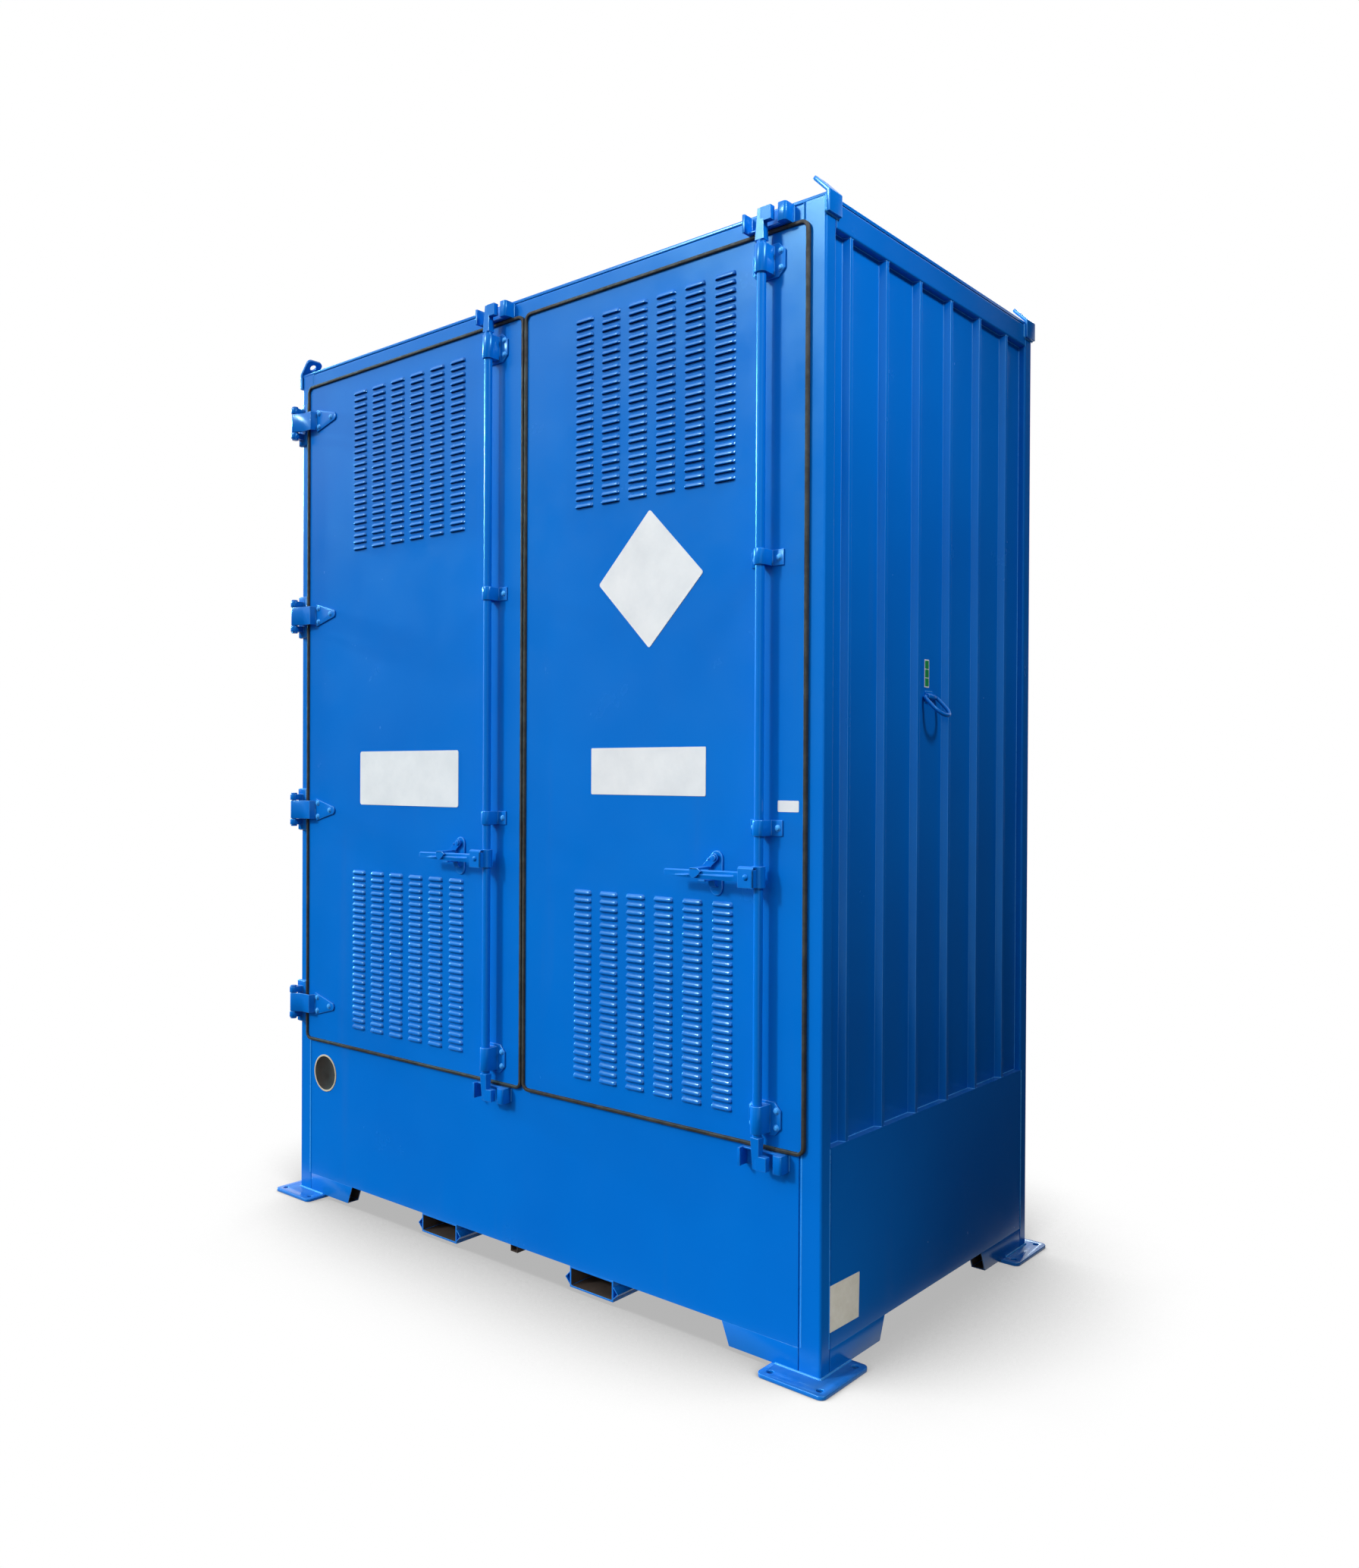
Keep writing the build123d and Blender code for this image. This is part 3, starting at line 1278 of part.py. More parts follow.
NODES = {
    "posts_front": posts_front,
    "posts_rear": posts_rear,
    "header": header,
    "top_rails": top_rails,
    "roof_sheet": roof_sheet,
    "base_plates": base_plates,
    "foot_stubs": foot_stubs,
    "lifting_lugs": lifting_lugs,
    "fork_pockets": fork_pockets,
    "pocket_angles": pocket_angles,
    "centre_bearer": centre_bearer,
    "sump_floor": sump_floor,
    "sump_walls": sump_walls,
    "sump_corners": sump_corners,
    "sump_rim": sump_rim,
    "floor_bearers": floor_bearers,
    "floor_grating": floor_grating,
    "deck_beams": deck_beams,
    "deck_grating": deck_grating,
    "wall_left": wall_left,
    "wall_right": wall_right,
    "wall_rear": wall_rear,
    "hinge_lugs": hinge_lugs,
    "hinge_pins": hinge_pins,
    "hinge_straps": hinge_straps,
    "strap_bolts": strap_bolts,
    "fold_hinge_left": fold_hinge_left,
    "fold_hinge_right": fold_hinge_right,
    "fold_pins": fold_pins,
    "header_keepers": header_keepers,
    "sill_keepers": sill_keepers,
    "ring_bracket": ring_bracket,
    "pull_ring": pull_ring,
}


def leaf_nodes(side):
    """Nodes that each leaf has, under its side's name."""
    return {
        f"leaf_{side}_skin": leaf_skin(side),
        f"leaf_{side}_frame": leaf_frame(side),
        f"louvres_{side}_upper": louvres(side, LOUVRE_UPPER_TOP, LOUVRE_ROWS),
        f"louvres_{side}_lower": louvres(side, LOUVRE_LOWER_TOP, LOUVRE_LOWER_ROWS),
        f"gasket_{side}": gasket(side),
        f"lock_rod_{side}": lock_rod(side),
        f"rod_bearings_{side}": rod_bearings(side),
        f"rod_guides_{side}": rod_guides(side),
        f"lock_bolts_{side}": lock_bolts(side),
        f"handle_hub_{side}": handle_hub(side),
        f"handle_{side}": handle(side),
        f"handle_keeper_{side}": handle_keeper(side),
        f"catch_{side}": catch(side),
    }


def main():
    os.makedirs("parts", exist_ok=True)
    nodes = {name: make() for name, make in NODES.items()}
    nodes.update(leaf_nodes("left"))
    nodes.update(leaf_nodes("right"))
    for name, part in nodes.items():
        export_step(part, f"parts/{name}.step")


main()
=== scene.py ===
import json
import math
import random

import bmesh
import bpy
from mathutils import Matrix, Vector

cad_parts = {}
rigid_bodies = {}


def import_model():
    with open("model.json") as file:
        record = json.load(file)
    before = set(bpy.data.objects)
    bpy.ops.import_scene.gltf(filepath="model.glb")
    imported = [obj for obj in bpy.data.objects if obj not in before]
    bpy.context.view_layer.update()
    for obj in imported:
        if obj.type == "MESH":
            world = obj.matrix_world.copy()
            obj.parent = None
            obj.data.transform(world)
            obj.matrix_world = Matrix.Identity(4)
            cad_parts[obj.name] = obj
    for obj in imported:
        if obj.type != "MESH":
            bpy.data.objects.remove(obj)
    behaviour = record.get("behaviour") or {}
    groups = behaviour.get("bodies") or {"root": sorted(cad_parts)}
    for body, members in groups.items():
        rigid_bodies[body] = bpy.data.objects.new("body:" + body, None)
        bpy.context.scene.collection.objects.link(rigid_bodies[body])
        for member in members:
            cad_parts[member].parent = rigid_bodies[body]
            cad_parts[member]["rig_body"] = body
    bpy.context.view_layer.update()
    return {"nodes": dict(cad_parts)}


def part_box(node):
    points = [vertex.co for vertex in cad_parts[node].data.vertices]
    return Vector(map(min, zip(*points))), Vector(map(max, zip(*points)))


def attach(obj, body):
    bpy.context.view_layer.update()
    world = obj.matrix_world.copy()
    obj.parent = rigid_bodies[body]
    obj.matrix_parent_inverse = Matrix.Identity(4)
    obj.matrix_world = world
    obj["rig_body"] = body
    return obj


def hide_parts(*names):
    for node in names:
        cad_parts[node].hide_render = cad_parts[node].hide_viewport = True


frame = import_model()

# Looks of the corrosive substance store. Lengths are in metres; those in millimetres are multiplied by MM
# or are said to be.
MM = 0.001

# Camera, fitted to the box's corners
CAMERA_PLACE = Vector((3.14013, -3.5257, 1.67573))
CAMERA_YAW = -0.69598
CAMERA_PITCH = -0.00642
CAMERA_ROLL = 0.00486
CAMERA_LENS = 28.598
CAMERA_SENSOR = 36.0

# Paint, as linear colours
BLUE = (0.0004, 0.160, 0.605)
BLUE_DEEP = (0.0004, 0.138, 0.555)
# Lighter blues: painted highlight on rounded edges, weld beads and bolt heads
BLUE_PAINTED_HIGHLIGHT = (0.030, 0.260, 0.760)
BLUE_WELD_HIGHLIGHT = (0.070, 0.420, 0.900)
# Dark brown primer: partly the steel's own primer, partly painted shade inside the pockets and stubs
PRIMER_AND_SHADE = (0.060, 0.040, 0.030)
RUBBER = (0.018, 0.018, 0.015)
RUBBER_DUSTY = (0.046, 0.045, 0.038)
ZINC = (0.46, 0.48, 0.49)
STEEL = (0.42, 0.42, 0.43)

PLATE = (0.80, 0.80, 0.79)
PLATE_WORN = (0.70, 0.71, 0.71)
PAPER = (0.90, 0.87, 0.77)
PAPER_WORN = (0.80, 0.76, 0.65)
DISC = (0.020, 0.017, 0.014)
DISC_WORN = (0.036, 0.030, 0.024)
RIM_PALE = (0.62, 0.52, 0.36)
RIM_WORN = (0.52, 0.43, 0.30)
GREEN = (0.010, 0.24, 0.055)
GREEN_WORN = (0.014, 0.30, 0.075)

# Paler blue mixed in on faces that point up, in patches
PALE_ON_TOP = (0.17, 0.36, 0.60)

# Tints of the gloss: on the broad faces, and on edges, pressed hoods and welds
GLOSS_TINT = (0.30, 0.80, 1.0)
EDGE_TINT = (0.60, 1.0, 0.90)

# Scales of noise: the enamel's, then the seals', the zinc's and the plates'
DRIFT_SCALE = 1.1
RUN_SCALE = 9.0
SPECK_SCALE = 130.0
TOP_PATCH_SCALE = 14.0
GLOSS_SCALE = 5.0
PEEL_SCALE = 320.0
WAVE_SCALE = 2.6
SEAL_DUST_SCALE = 16.0
SEAL_GLOSS_SCALE = 60.0
FOAM_SCALE = 420.0
SPANGLE_SCALE = 90.0
ZINC_GLOSS_SCALE = 30.0
ZINC_GRAIN_SCALE = 260.0
PLATE_GLOSS_SCALE = 25.0

# Angles in degrees: faces closer than this are merged, edges sharper than this are rounded over
MERGE_ANGLE = 0.8
EDGE_ANGLE = 32.0

# Louvres: a hood's lines across its width and down from its top edge, its depth and the slot below it
LOUVRE_ROWS = 25
HOOD_END = 9.5 * MM
HOOD_LINES = [
    line * MM for line in (0, 0.3, 1.0, 2.2, 4, 6.5, 9.5, 25, 38, 51, 66.5, 69.5, 72, 73.8, 75, 75.7, 76)
]
HOOD_DEPTH = 8.5 * MM
HOOD_DROPS = [drop * MM for drop in (0, 0.25, 0.9, 2.1, 4.0, 6.9, 10.4, 14.3)]
SLOT_SILL = 15.6 * MM
SKIN_SHEET = 2.2 * MM

# Lock rods: their radius, the nose on each end (width and depth at its root and tip) and the cam beside it
ROD_RADIUS = 13.5 * MM
NOSE_ROOT = (30 * MM, 27 * MM)
NOSE_TIP = (21 * MM, 16 * MM)
CAM_REACH = 37 * MM
CAM_HEIGHT = 40 * MM
CAM_HALF = 10 * MM

# Handle gear: radii, distances between its parts, and fronts and backs as places along Y
COLLAR_BORE = 13.6 * MM
COLLAR_RADIUS = 19.5 * MM
COLLAR_HALF = 30.5 * MM
RIVET_FROM_ROD = 19 * MM
PIVOT_FROM_ROD = 178 * MM
PIVOT_ABOVE_BAR = 45 * MM
CHEEK_FRONT = -727.8 * MM
CHEEK_BACK = -704.2 * MM
CHEEK_SHEET = 5 * MM
FOLD_RADIUS = 9 * MM
FOLD_LEFT = 47 * MM
FOLD_RIGHT = 6 * MM
EYE_RADIUS = 13 * MM
EYE_FRONT = -668.5 * MM
EYE_BACK = -663.5 * MM
CATCH_FRONT = -728.5 * MM
LIP_BACK = -724.0 * MM
KEEPER_PLATE = 6 * MM
KEEPER_RADIUS = 23 * MM
KEEPER_STRAIGHT = 43 * MM
# Bar's sections, in mm: distance from the rivet, fronts of its upper half, step and lower edge, its back,
# and the heights of its upper edge, the step's two edges and its lower edge
BAR_SECTIONS = (
    (-15, 715.5, 716.5, 715.5, 713.5, 5.0, 1.0, -1.0, -5.0),
    (-9, 721.5, 722.0, 721.5, 713.0, 12.0, 1.0, -1.0, -12.0),
    (0, 722.4, 722.4, 722.4, 712.6, 15.0, 1.0, -1.0, -15.0),
    (46, 722.4, 722.4, 722.4, 713.5, 14.4, 3.0, -1.0, -14.4),
    (56, 719.2, 727.0, 724.0, 713.5, 14.2, 3.0, -1.0, -14.2),
    (80, 718.6, 727.2, 722.0, 712.8, 13.9, 2.5, -1.5, -14.4),
    (112, 718.8, 725.0, 720.2, 712.6, 13.3, 1.5, -2.0, -13.8),
    (136, 719.6, 721.4, 719.6, 712.6, 12.8, 1.0, -2.0, -12.8),
    (208, 719.6, 721.4, 719.6, 712.6, 11.9, -0.5, -3.5, -11.9),
    (215, 719.2, 726.4, 721.6, 712.6, 11.7, -0.5, -4.0, -12.2),
    (240, 719.2, 723.0, 720.2, 712.6, 11.4, -2.0, -5.5, -11.7),
    (264, 719.4, 719.5, 719.4, 713.2, 11.0, -4.0, -7.5, -11.0),
    (303, 719.4, 719.5, 719.4, 713.6, 10.5, 0.5, -0.5, -10.5),
    (306.5, 719.2, 719.3, 719.2, 713.8, 9.0, 0.5, -0.5, -9.0),
    (308, 718.6, 718.7, 718.6, 714.4, 6.5, 0.5, -0.5, -6.5),
)
BAR_SHOULDER = 3.2

# Weld beads: their form, their radii, and how deep the tub's seams are sunk
BEAD_STEP = 2.4 * MM
BEAD_RIPPLE = 5.2 * MM
BEAD_SIDES = 7
SEAM_BEAD = 3.4 * MM
SEAM_SINK = 1.7 * MM
RAIL_BEAD = 1.2 * MM
LUG_BEAD = 4.0 * MM
FOOT_BEAD = 5.0 * MM
HINGE_BEAD = 3.0 * MM
HINGE_END_BEAD = 2.4 * MM
KEEPER_BEAD = 2.6 * MM
RING_BEAD = 2.0 * MM
POCKET_BEAD = 3.0 * MM
WALL_BEAD = 2.2 * MM
WALL_END_BEAD = 1.6 * MM

# Places on the frame, inwards from the box over the posts
POST_X = 75 * MM
POST_Y = 50 * MM
SEAM_X = 66 * MM
SEAM_Y = 44 * MM
FOOT_END_X = 155 * MM
FOOT_END_Y = 160 * MM
HINGE_EDGE = 45 * MM
HINGE_WRAP = 38 * MM
POCKET_END = 120 * MM
WALL_RECESS = 24 * MM

# Walls' sheet, and how far inside the pockets and stubs the dark primer starts
WALL_SHEET = 2.5 * MM
POCKET_MARGIN = 3 * MM
STUB_MARGIN = 2 * MM

# Signs' places in mm, from the left post's outer side and the base plates: left, right, low and high
SIGN_LEFT = (399, 972, 1549, 1751)
SIGN_RIGHT = (1622, 2090, 1604, 1751)
STICKER = (2350, 2422, 1564, 1596)
DIAMOND_MIDDLE = (1865, 2268)
DIAMOND_HALF = 150.5
BADGE_MIDDLE = (168, 483)
BADGE_FIELD = 64
# The same on the right side, from the front
STRIP = (604, 633, 1945, 2033)
STRIP_FIELD = (607, 630)
STRIP_START = 1949
STRIP_PITCH = 27.5
STRIP_HEIGHT = 25
STRIP_PROUD = 0.8 * MM
LABEL = (45, 199, 113, 243)
LABEL_TILT = -1.5

# Stage and light
FLOOR_HALF = 40.0
FLOOR_BOUNCE = (0.12, 0.12, 0.13)
SHADOW_REACH = 1.1
SHADOW_LEAN = (0.05, -0.24, 0.97)
SHADOW_RANGE = (0.56, 0.86, 0.46, 1.0)
SKY_LOW = (0.07, 0.08, 0.10)
SKY_HIGH = (0.40, 0.45, 0.52)
SKY_HEIGHTS = (0.02, 0.60)
SKY_BRIGHT = (-0.6, -0.8, 0.0)
SKY_SIDES = (-0.3, 0.8)
SKY_BACK_FRONT = (0.35, 1.75)
# Dark cards: their colour and corners
CARD_COLOUR = (0.012, 0.02, 0.035)
CARDS = {
    "card_front": [(-16, -6, 0), (4, -6, 0), (4, -6, 6.2), (-16, -6, 3.8)],
    "card_front_ground": [(-16, -6, 0.002), (4, -6, 0.002), (4, -0.78, 0.002), (-16, -0.78, 0.002)],
    "card_side_ground": [(1.35, -0.78, 0.002), (5, -0.78, 0.002), (5, 26, 0.002), (1.35, 26, 0.002)],
    "card_side": [(5, -2, 0), (5, 26, 0), (5, 26, 9), (5, -2, 9)],
}
# Suns: where the light comes from, its strength, its angle in degrees and its colour
KEY = ((-0.45, -0.74, 0.50), 1.75, 7.0, (1.0, 0.98, 0.95))
SOFT_FRONT = ((-0.42, -0.84, 0.34), 1.6, 75.0, (0.96, 0.98, 1.0))
RIM = ((-0.966, -0.05, 0.25), 2.7, 5.0, (0.22, 0.80, 1.0))
# Lamps: place, target, power and colour
SIDE_FILL = ((4.3, -0.95, 5.4), (1.3, -0.9, 3.1), 700, (0.86, 0.93, 1.0))
LOW_FILL = ((4.2, -1.9, 0.9), (1.25, -0.60, 0.16), 165, (1.0, 0.93, 0.80))
REAR_FILL = ((-4, 9, 6), (0, 0.7, 1.7), 700, (1, 1, 1))

random.seed(7)


# Materials


def material_with(name):
    """New node material, with its tree and its shader."""
    material = bpy.data.materials.new(name)
    material.use_nodes = True
    tree = material.node_tree
    return material, tree, tree.nodes["Principled BSDF"]


def add(tree, kind, **values):
    """Node of a kind with its properties set."""
    node = tree.nodes.new(kind)
    for key, value in values.items():
        setattr(node, key, value)
    return node


def noise(tree, scale, detail=3.0, roughness=0.55, stretch=(1, 1, 1)):
    """Noise in the piece's own coordinates; gives its value from 0 to 1."""
    place = add(tree, "ShaderNodeTexCoord")
    mapping = add(tree, "ShaderNodeMapping")
    mapping.inputs["Scale"].default_value = stretch
    texture = add(tree, "ShaderNodeTexNoise")
    texture.inputs["Scale"].default_value = scale
    texture.inputs["Detail"].default_value = detail
    texture.inputs["Roughness"].default_value = roughness
    tree.links.new(place.outputs["Object"], mapping.inputs["Vector"])
    tree.links.new(mapping.outputs["Vector"], texture.inputs["Vector"])
    return texture.outputs["Fac"]


def spread(tree, value, low, high, out_low=0.0, out_high=1.0):
    """Maps a range of a value to another, held at its ends."""
    node = add(tree, "ShaderNodeMapRange")
    node.inputs["From Min"].default_value = low
    node.inputs["From Max"].default_value = high
    node.inputs["To Min"].default_value = out_low
    node.inputs["To Max"].default_value = out_high
    tree.links.new(value, node.inputs["Value"])
    return node.outputs["Result"]


def mix(tree, factor, first, second):
    """Mixes two colours; each is a colour or a socket."""
    node = add(tree, "ShaderNodeMix", data_type="RGBA")
    tree.links.new(factor, node.inputs["Factor"])
    for socket, colour in ((node.inputs[6], first), (node.inputs[7], second)):
        if isinstance(colour, tuple):
            socket.default_value = (*colour, 1.0)
        else:
            tree.links.new(colour, socket)
    return node.outputs[2]


def times(tree, first, second):
    """Product of two values."""
    node = add(tree, "ShaderNodeMath", operation="MULTIPLY")
    for socket, value in zip(node.inputs, (first, second)):
        if isinstance(value, float):
            socket.default_value = value
        else:
            tree.links.new(value, socket)
    return node.outputs[0]


def bumps(tree, shader, layers):
    """Chain of bump layers, each a height, a strength and a distance."""
    before = None
    for height, strength, distance in layers:
        node = add(tree, "ShaderNodeBump")
        node.inputs["Strength"].default_value = strength
        node.inputs["Distance"].default_value = distance
        tree.links.new(height, node.inputs["Height"])
        if before:
            tree.links.new(before, node.inputs["Normal"])
        before = node.outputs["Normal"]
    tree.links.new(before, shader.inputs["Normal"])


def upward(tree, low, high):
    """How much a surface faces up, from 0 to 1."""
    geometry = add(tree, "ShaderNodeNewGeometry")
    parts = add(tree, "ShaderNodeSeparateXYZ")
    tree.links.new(geometry.outputs["Normal"], parts.inputs[0])
    return spread(tree, parts.outputs["Z"], low, high)


def enamel(name, colour, deep, top_pale=0.25, wave=0.0012, rough=0.17, tint=GLOSS_TINT, level=0.5):
    """Gloss enamel over steel: colour drifts, faint runs, paler blue in patches on faces that point up,
    orange peel and panel waves.
    """
    material, tree, shader = material_with(name)
    drift = spread(tree, noise(tree, DRIFT_SCALE, 3.0), 0.32, 0.68)
    base = mix(tree, drift, colour, deep)
    runs = spread(tree, noise(tree, RUN_SCALE, 3.0, 0.6, (1, 1, 0.07)), 0.62, 0.80, 0.0, 0.16)
    base = mix(tree, runs, base, tuple(0.75 * part + 0.03 for part in colour))
    specks = spread(tree, noise(tree, SPECK_SCALE, 4.0, 0.7), 0.70, 0.76, 0.0, 0.35)
    base = mix(tree, specks, base, tuple(0.5 * part for part in deep))
    patches = spread(tree, noise(tree, TOP_PATCH_SCALE, 5.0), 0.3, 0.7, 0.2, 1.0)
    top_patches = times(tree, upward(tree, 0.55, 0.95), patches)
    base = mix(tree, times(tree, top_patches, top_pale), base, PALE_ON_TOP)
    tree.links.new(base, shader.inputs["Base Color"])
    gloss = spread(tree, noise(tree, GLOSS_SCALE, 4.0, 0.65), 0.25, 0.75, rough, rough + 0.12)
    tree.links.new(gloss, shader.inputs["Roughness"])
    shader.inputs["Specular IOR Level"].default_value = level
    shader.inputs["Specular Tint"].default_value = (*tint, 1.0)
    peel = noise(tree, PEEL_SCALE, 2.0)
    waves = noise(tree, WAVE_SCALE, 2.0, 0.4)
    bumps(tree, shader, [(waves, 0.35, wave), (peel, 0.10, 0.0006)])
    return material


def rubber(name):
    """Foam seal: dark, matt and dusty along its front."""
    material, tree, shader = material_with(name)
    dusty = spread(tree, noise(tree, SEAL_DUST_SCALE, 5.0, 0.7), 0.42, 0.68)
    base = mix(tree, dusty, RUBBER, RUBBER_DUSTY)
    tree.links.new(base, shader.inputs["Base Color"])
    gloss = spread(tree, noise(tree, SEAL_GLOSS_SCALE), 0.3, 0.7, 0.55, 0.8)
    tree.links.new(gloss, shader.inputs["Roughness"])
    bumps(tree, shader, [(noise(tree, FOAM_SCALE, 3.0), 0.25, 0.0006)])
    return material


def zinc(name, colour, rough):
    """Galvanised steel with its spangle."""
    material, tree, shader = material_with(name)
    place = add(tree, "ShaderNodeTexCoord")
    spangle = add(tree, "ShaderNodeTexVoronoi", feature="F1")
    spangle.inputs["Scale"].default_value = SPANGLE_SCALE
    tree.links.new(place.outputs["Object"], spangle.inputs["Vector"])
    grey = add(tree, "ShaderNodeRGBToBW")
    tree.links.new(spangle.outputs["Color"], grey.inputs[0])
    base = mix(tree, spread(tree, grey.outputs[0], 0.2, 0.8), colour, tuple(0.72 * part for part in colour))
    tree.links.new(base, shader.inputs["Base Color"])
    shader.inputs["Metallic"].default_value = 0.85
    gloss = spread(tree, noise(tree, ZINC_GLOSS_SCALE), 0.3, 0.7, rough, rough + 0.2)
    tree.links.new(gloss, shader.inputs["Roughness"])
    bumps(tree, shader, [(noise(tree, ZINC_GRAIN_SCALE), 0.15, 0.0005)])
    return material


def matt(name, colour, other, rough=0.6, scale=12.0, grain=200.0, depth=0.0003):
    """Plain coated surface whose colour drifts between two values."""
    material, tree, shader = material_with(name)
    base = mix(tree, spread(tree, noise(tree, scale, 5.0, 0.65), 0.35, 0.7), colour, other)
    tree.links.new(base, shader.inputs["Base Color"])
    gloss = spread(tree, noise(tree, PLATE_GLOSS_SCALE), 0.3, 0.7, rough, rough + 0.12)
    tree.links.new(gloss, shader.inputs["Roughness"])
    bumps(tree, shader, [(noise(tree, grain, 3.0), 0.2, depth)])
    return material


paint = enamel("enamel_blue", BLUE, BLUE_DEEP)
door_paint = enamel("enamel_door", BLUE, BLUE_DEEP, top_pale=0.3, wave=0.0016)
# Rounded edges take a lighter blue: a painted highlight along them
edge_highlight_paint = enamel("enamel_edges_painted_highlight", BLUE_PAINTED_HIGHLIGHT, BLUE, 0.1, 0.0, 0.16, EDGE_TINT, 0.9)
hood_paint = enamel("enamel_hoods", BLUE, BLUE_DEEP, 0.3, 0.0, 0.18, EDGE_TINT, 0.95)
# Weld beads and domed bolt heads take a much lighter blue: a painted highlight
weld_highlight_paint = enamel("enamel_welds_painted_highlight", BLUE_WELD_HIGHLIGHT, BLUE_PAINTED_HIGHLIGHT, 0.15, 0.0, 0.22, EDGE_TINT)
# Inside the fork pockets and foot stubs: brown primer kept dark, partly painted shade in these hollows
primer_and_shade = matt("primer_and_painted_shade", PRIMER_AND_SHADE, (0.024, 0.020, 0.018), rough=0.7, scale=9.0)
seal = rubber("seal_foam")
zinc_grate = zinc("zinc_grating", ZINC, 0.38)
turned_steel = zinc("turned_steel", STEEL, 0.28)
plate_white = matt("plate_white", PLATE, PLATE_WORN, rough=0.28, scale=6.0, grain=90.0)
paper = matt("label_paper", PAPER, PAPER_WORN, rough=0.75, scale=26.0, depth=0.0006)
disc_dark = matt("disc_dark", DISC, DISC_WORN, rough=0.35)
disc_rim = matt("disc_rim", RIM_PALE, RIM_WORN, rough=0.4)
strip_green = matt("strip_green", GREEN, GREEN_WORN, rough=0.35)


# Meshes


def place_piece(name, mesh, materials, body):
    """Puts a mesh in the scene, riding on a body."""
    obj = bpy.data.objects.new(name, mesh)
    bpy.context.scene.collection.objects.link(obj)
    for material in materials:
        mesh.materials.append(material)
    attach(obj, body)
    return obj


def mesh_of(name, points, faces, sharp=35.0):
    """Smooth mesh with edges sharp past an angle."""
    mesh = bpy.data.meshes.new(name)
    mesh.from_pydata([tuple(point) for point in points], [], faces)
    mesh.shade_smooth()
    mesh.set_sharp_from_angle(angle=math.radians(sharp))
    return mesh


def node_bmesh(*names):
    """Merged faces of CAD nodes, without the split edges of the frame's file."""
    bm = bmesh.new()
    for name in names:
        bm.from_mesh(frame["nodes"][name].data)
    bmesh.ops.remove_doubles(bm, verts=bm.verts, dist=0.02 * MM)
    return bm


def solids(name):
    """Lowest and highest corner of each separate solid of a node."""
    bm = node_bmesh(name)
    seen = set()
    boxes = []
    for start in bm.verts:
        if start in seen:
            continue
        seen.add(start)
        waiting = [start]
        found = []
        while waiting:
            vert = waiting.pop()
            found.append(vert.co.copy())
            for edge in vert.link_edges:
                other = edge.other_vert(vert)
                if other not in seen:
                    seen.add(other)
                    waiting.append(other)
        low = Vector([min(co[axis] for co in found) for axis in range(3)])
        high = Vector([max(co[axis] for co in found) for axis in range(3)])
        boxes.append((low, high))
    bm.free()
    return boxes


def body_of(node):
    """Body that a node rides on."""
    return frame["nodes"][node]["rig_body"]


def round_edges(obj, width, segments, angle, clamp):
    """Rounds the edges over; the faces this makes take the piece's second material, mostly the lighter edge
    paint, a painted highlight.
    """
    bevel = obj.modifiers.new("rounded", "BEVEL")
    bevel.width = width
    bevel.segments = segments
    bevel.limit_method = "ANGLE"
    bevel.angle_limit = math.radians(angle)
    bevel.use_clamp_overlap = clamp
    bevel.harden_normals = True
    bevel.material = 1


def softened(node, radius, materials=None, segments=2, inside=None):
    """Copy of a CAD node with its edges rounded over; faces that pass the test inside get the dark primer,
    partly painted shade.
    """
    bm = node_bmesh(node)
    limit = math.radians(MERGE_ANGLE)
    bmesh.ops.dissolve_limit(
        bm, angle_limit=limit, use_dissolve_boundaries=False, verts=bm.verts, edges=bm.edges
    )
    if inside:
        for face in bm.faces:
            if inside(face):
                face.material_index = 2
    mesh = bpy.data.meshes.new(f"{node}_finished")
    bm.to_mesh(mesh)
    bm.free()
    mesh.shade_smooth()
    if materials is None:
        materials = [paint, edge_highlight_paint, primer_and_shade]
    obj = place_piece(f"{node}_finished", mesh, materials, body_of(node))
    round_edges(obj, radius, segments, EDGE_ANGLE, False)
    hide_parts(node)


def finish_with(material, *nodes):
    """CAD nodes whose shape stays get a material."""
    for name in nodes:
        mesh = frame["nodes"][name].data
        mesh.materials.clear()
        mesh.materials.append(material)


class Heap:
    """Points and faces gathered for one mesh."""

    def __init__(self):
        self.points = []
        self.faces = []

    def ring_stack(self, rings, closed_ends=True):
        """Tube or cap through rings of the same number of points."""
        start = len(self.points)
        count = len(rings[0])
        for ring in rings:
            self.points.extend(ring)
        for level in range(len(rings) - 1):
            for index in range(count):
                near = start + level * count + index
                beside = start + level * count + (index + 1) % count
                self.faces.append((near, beside, beside + count, near + count))
        if closed_ends:
            self.faces.append(tuple(start + index for index in reversed(range(count))))
            last = start + (len(rings) - 1) * count
            self.faces.append(tuple(last + index for index in range(count)))


def turned(*pairs):
    """Profile for a turned form, from pairs of a radius and a height in mm."""
    return [(radius * MM, height * MM) for radius, height in pairs]


def lathe(heap, centre, axis, profile, sides=22):
    """Turned form: profile holds pairs of a radius and a height along the axis."""
    axis = axis.normalized()
    across = axis.orthogonal().normalized()
    other = axis.cross(across)
    rings = []
    for radius, height in profile:
        ring = []
        for index in range(sides):
            turn = 2 * math.pi * index / sides
            offset = across * math.cos(turn) + other * math.sin(turn)
            ring.append(centre + axis * height + offset * radius)
        rings.append(ring)
    heap.ring_stack(rings)


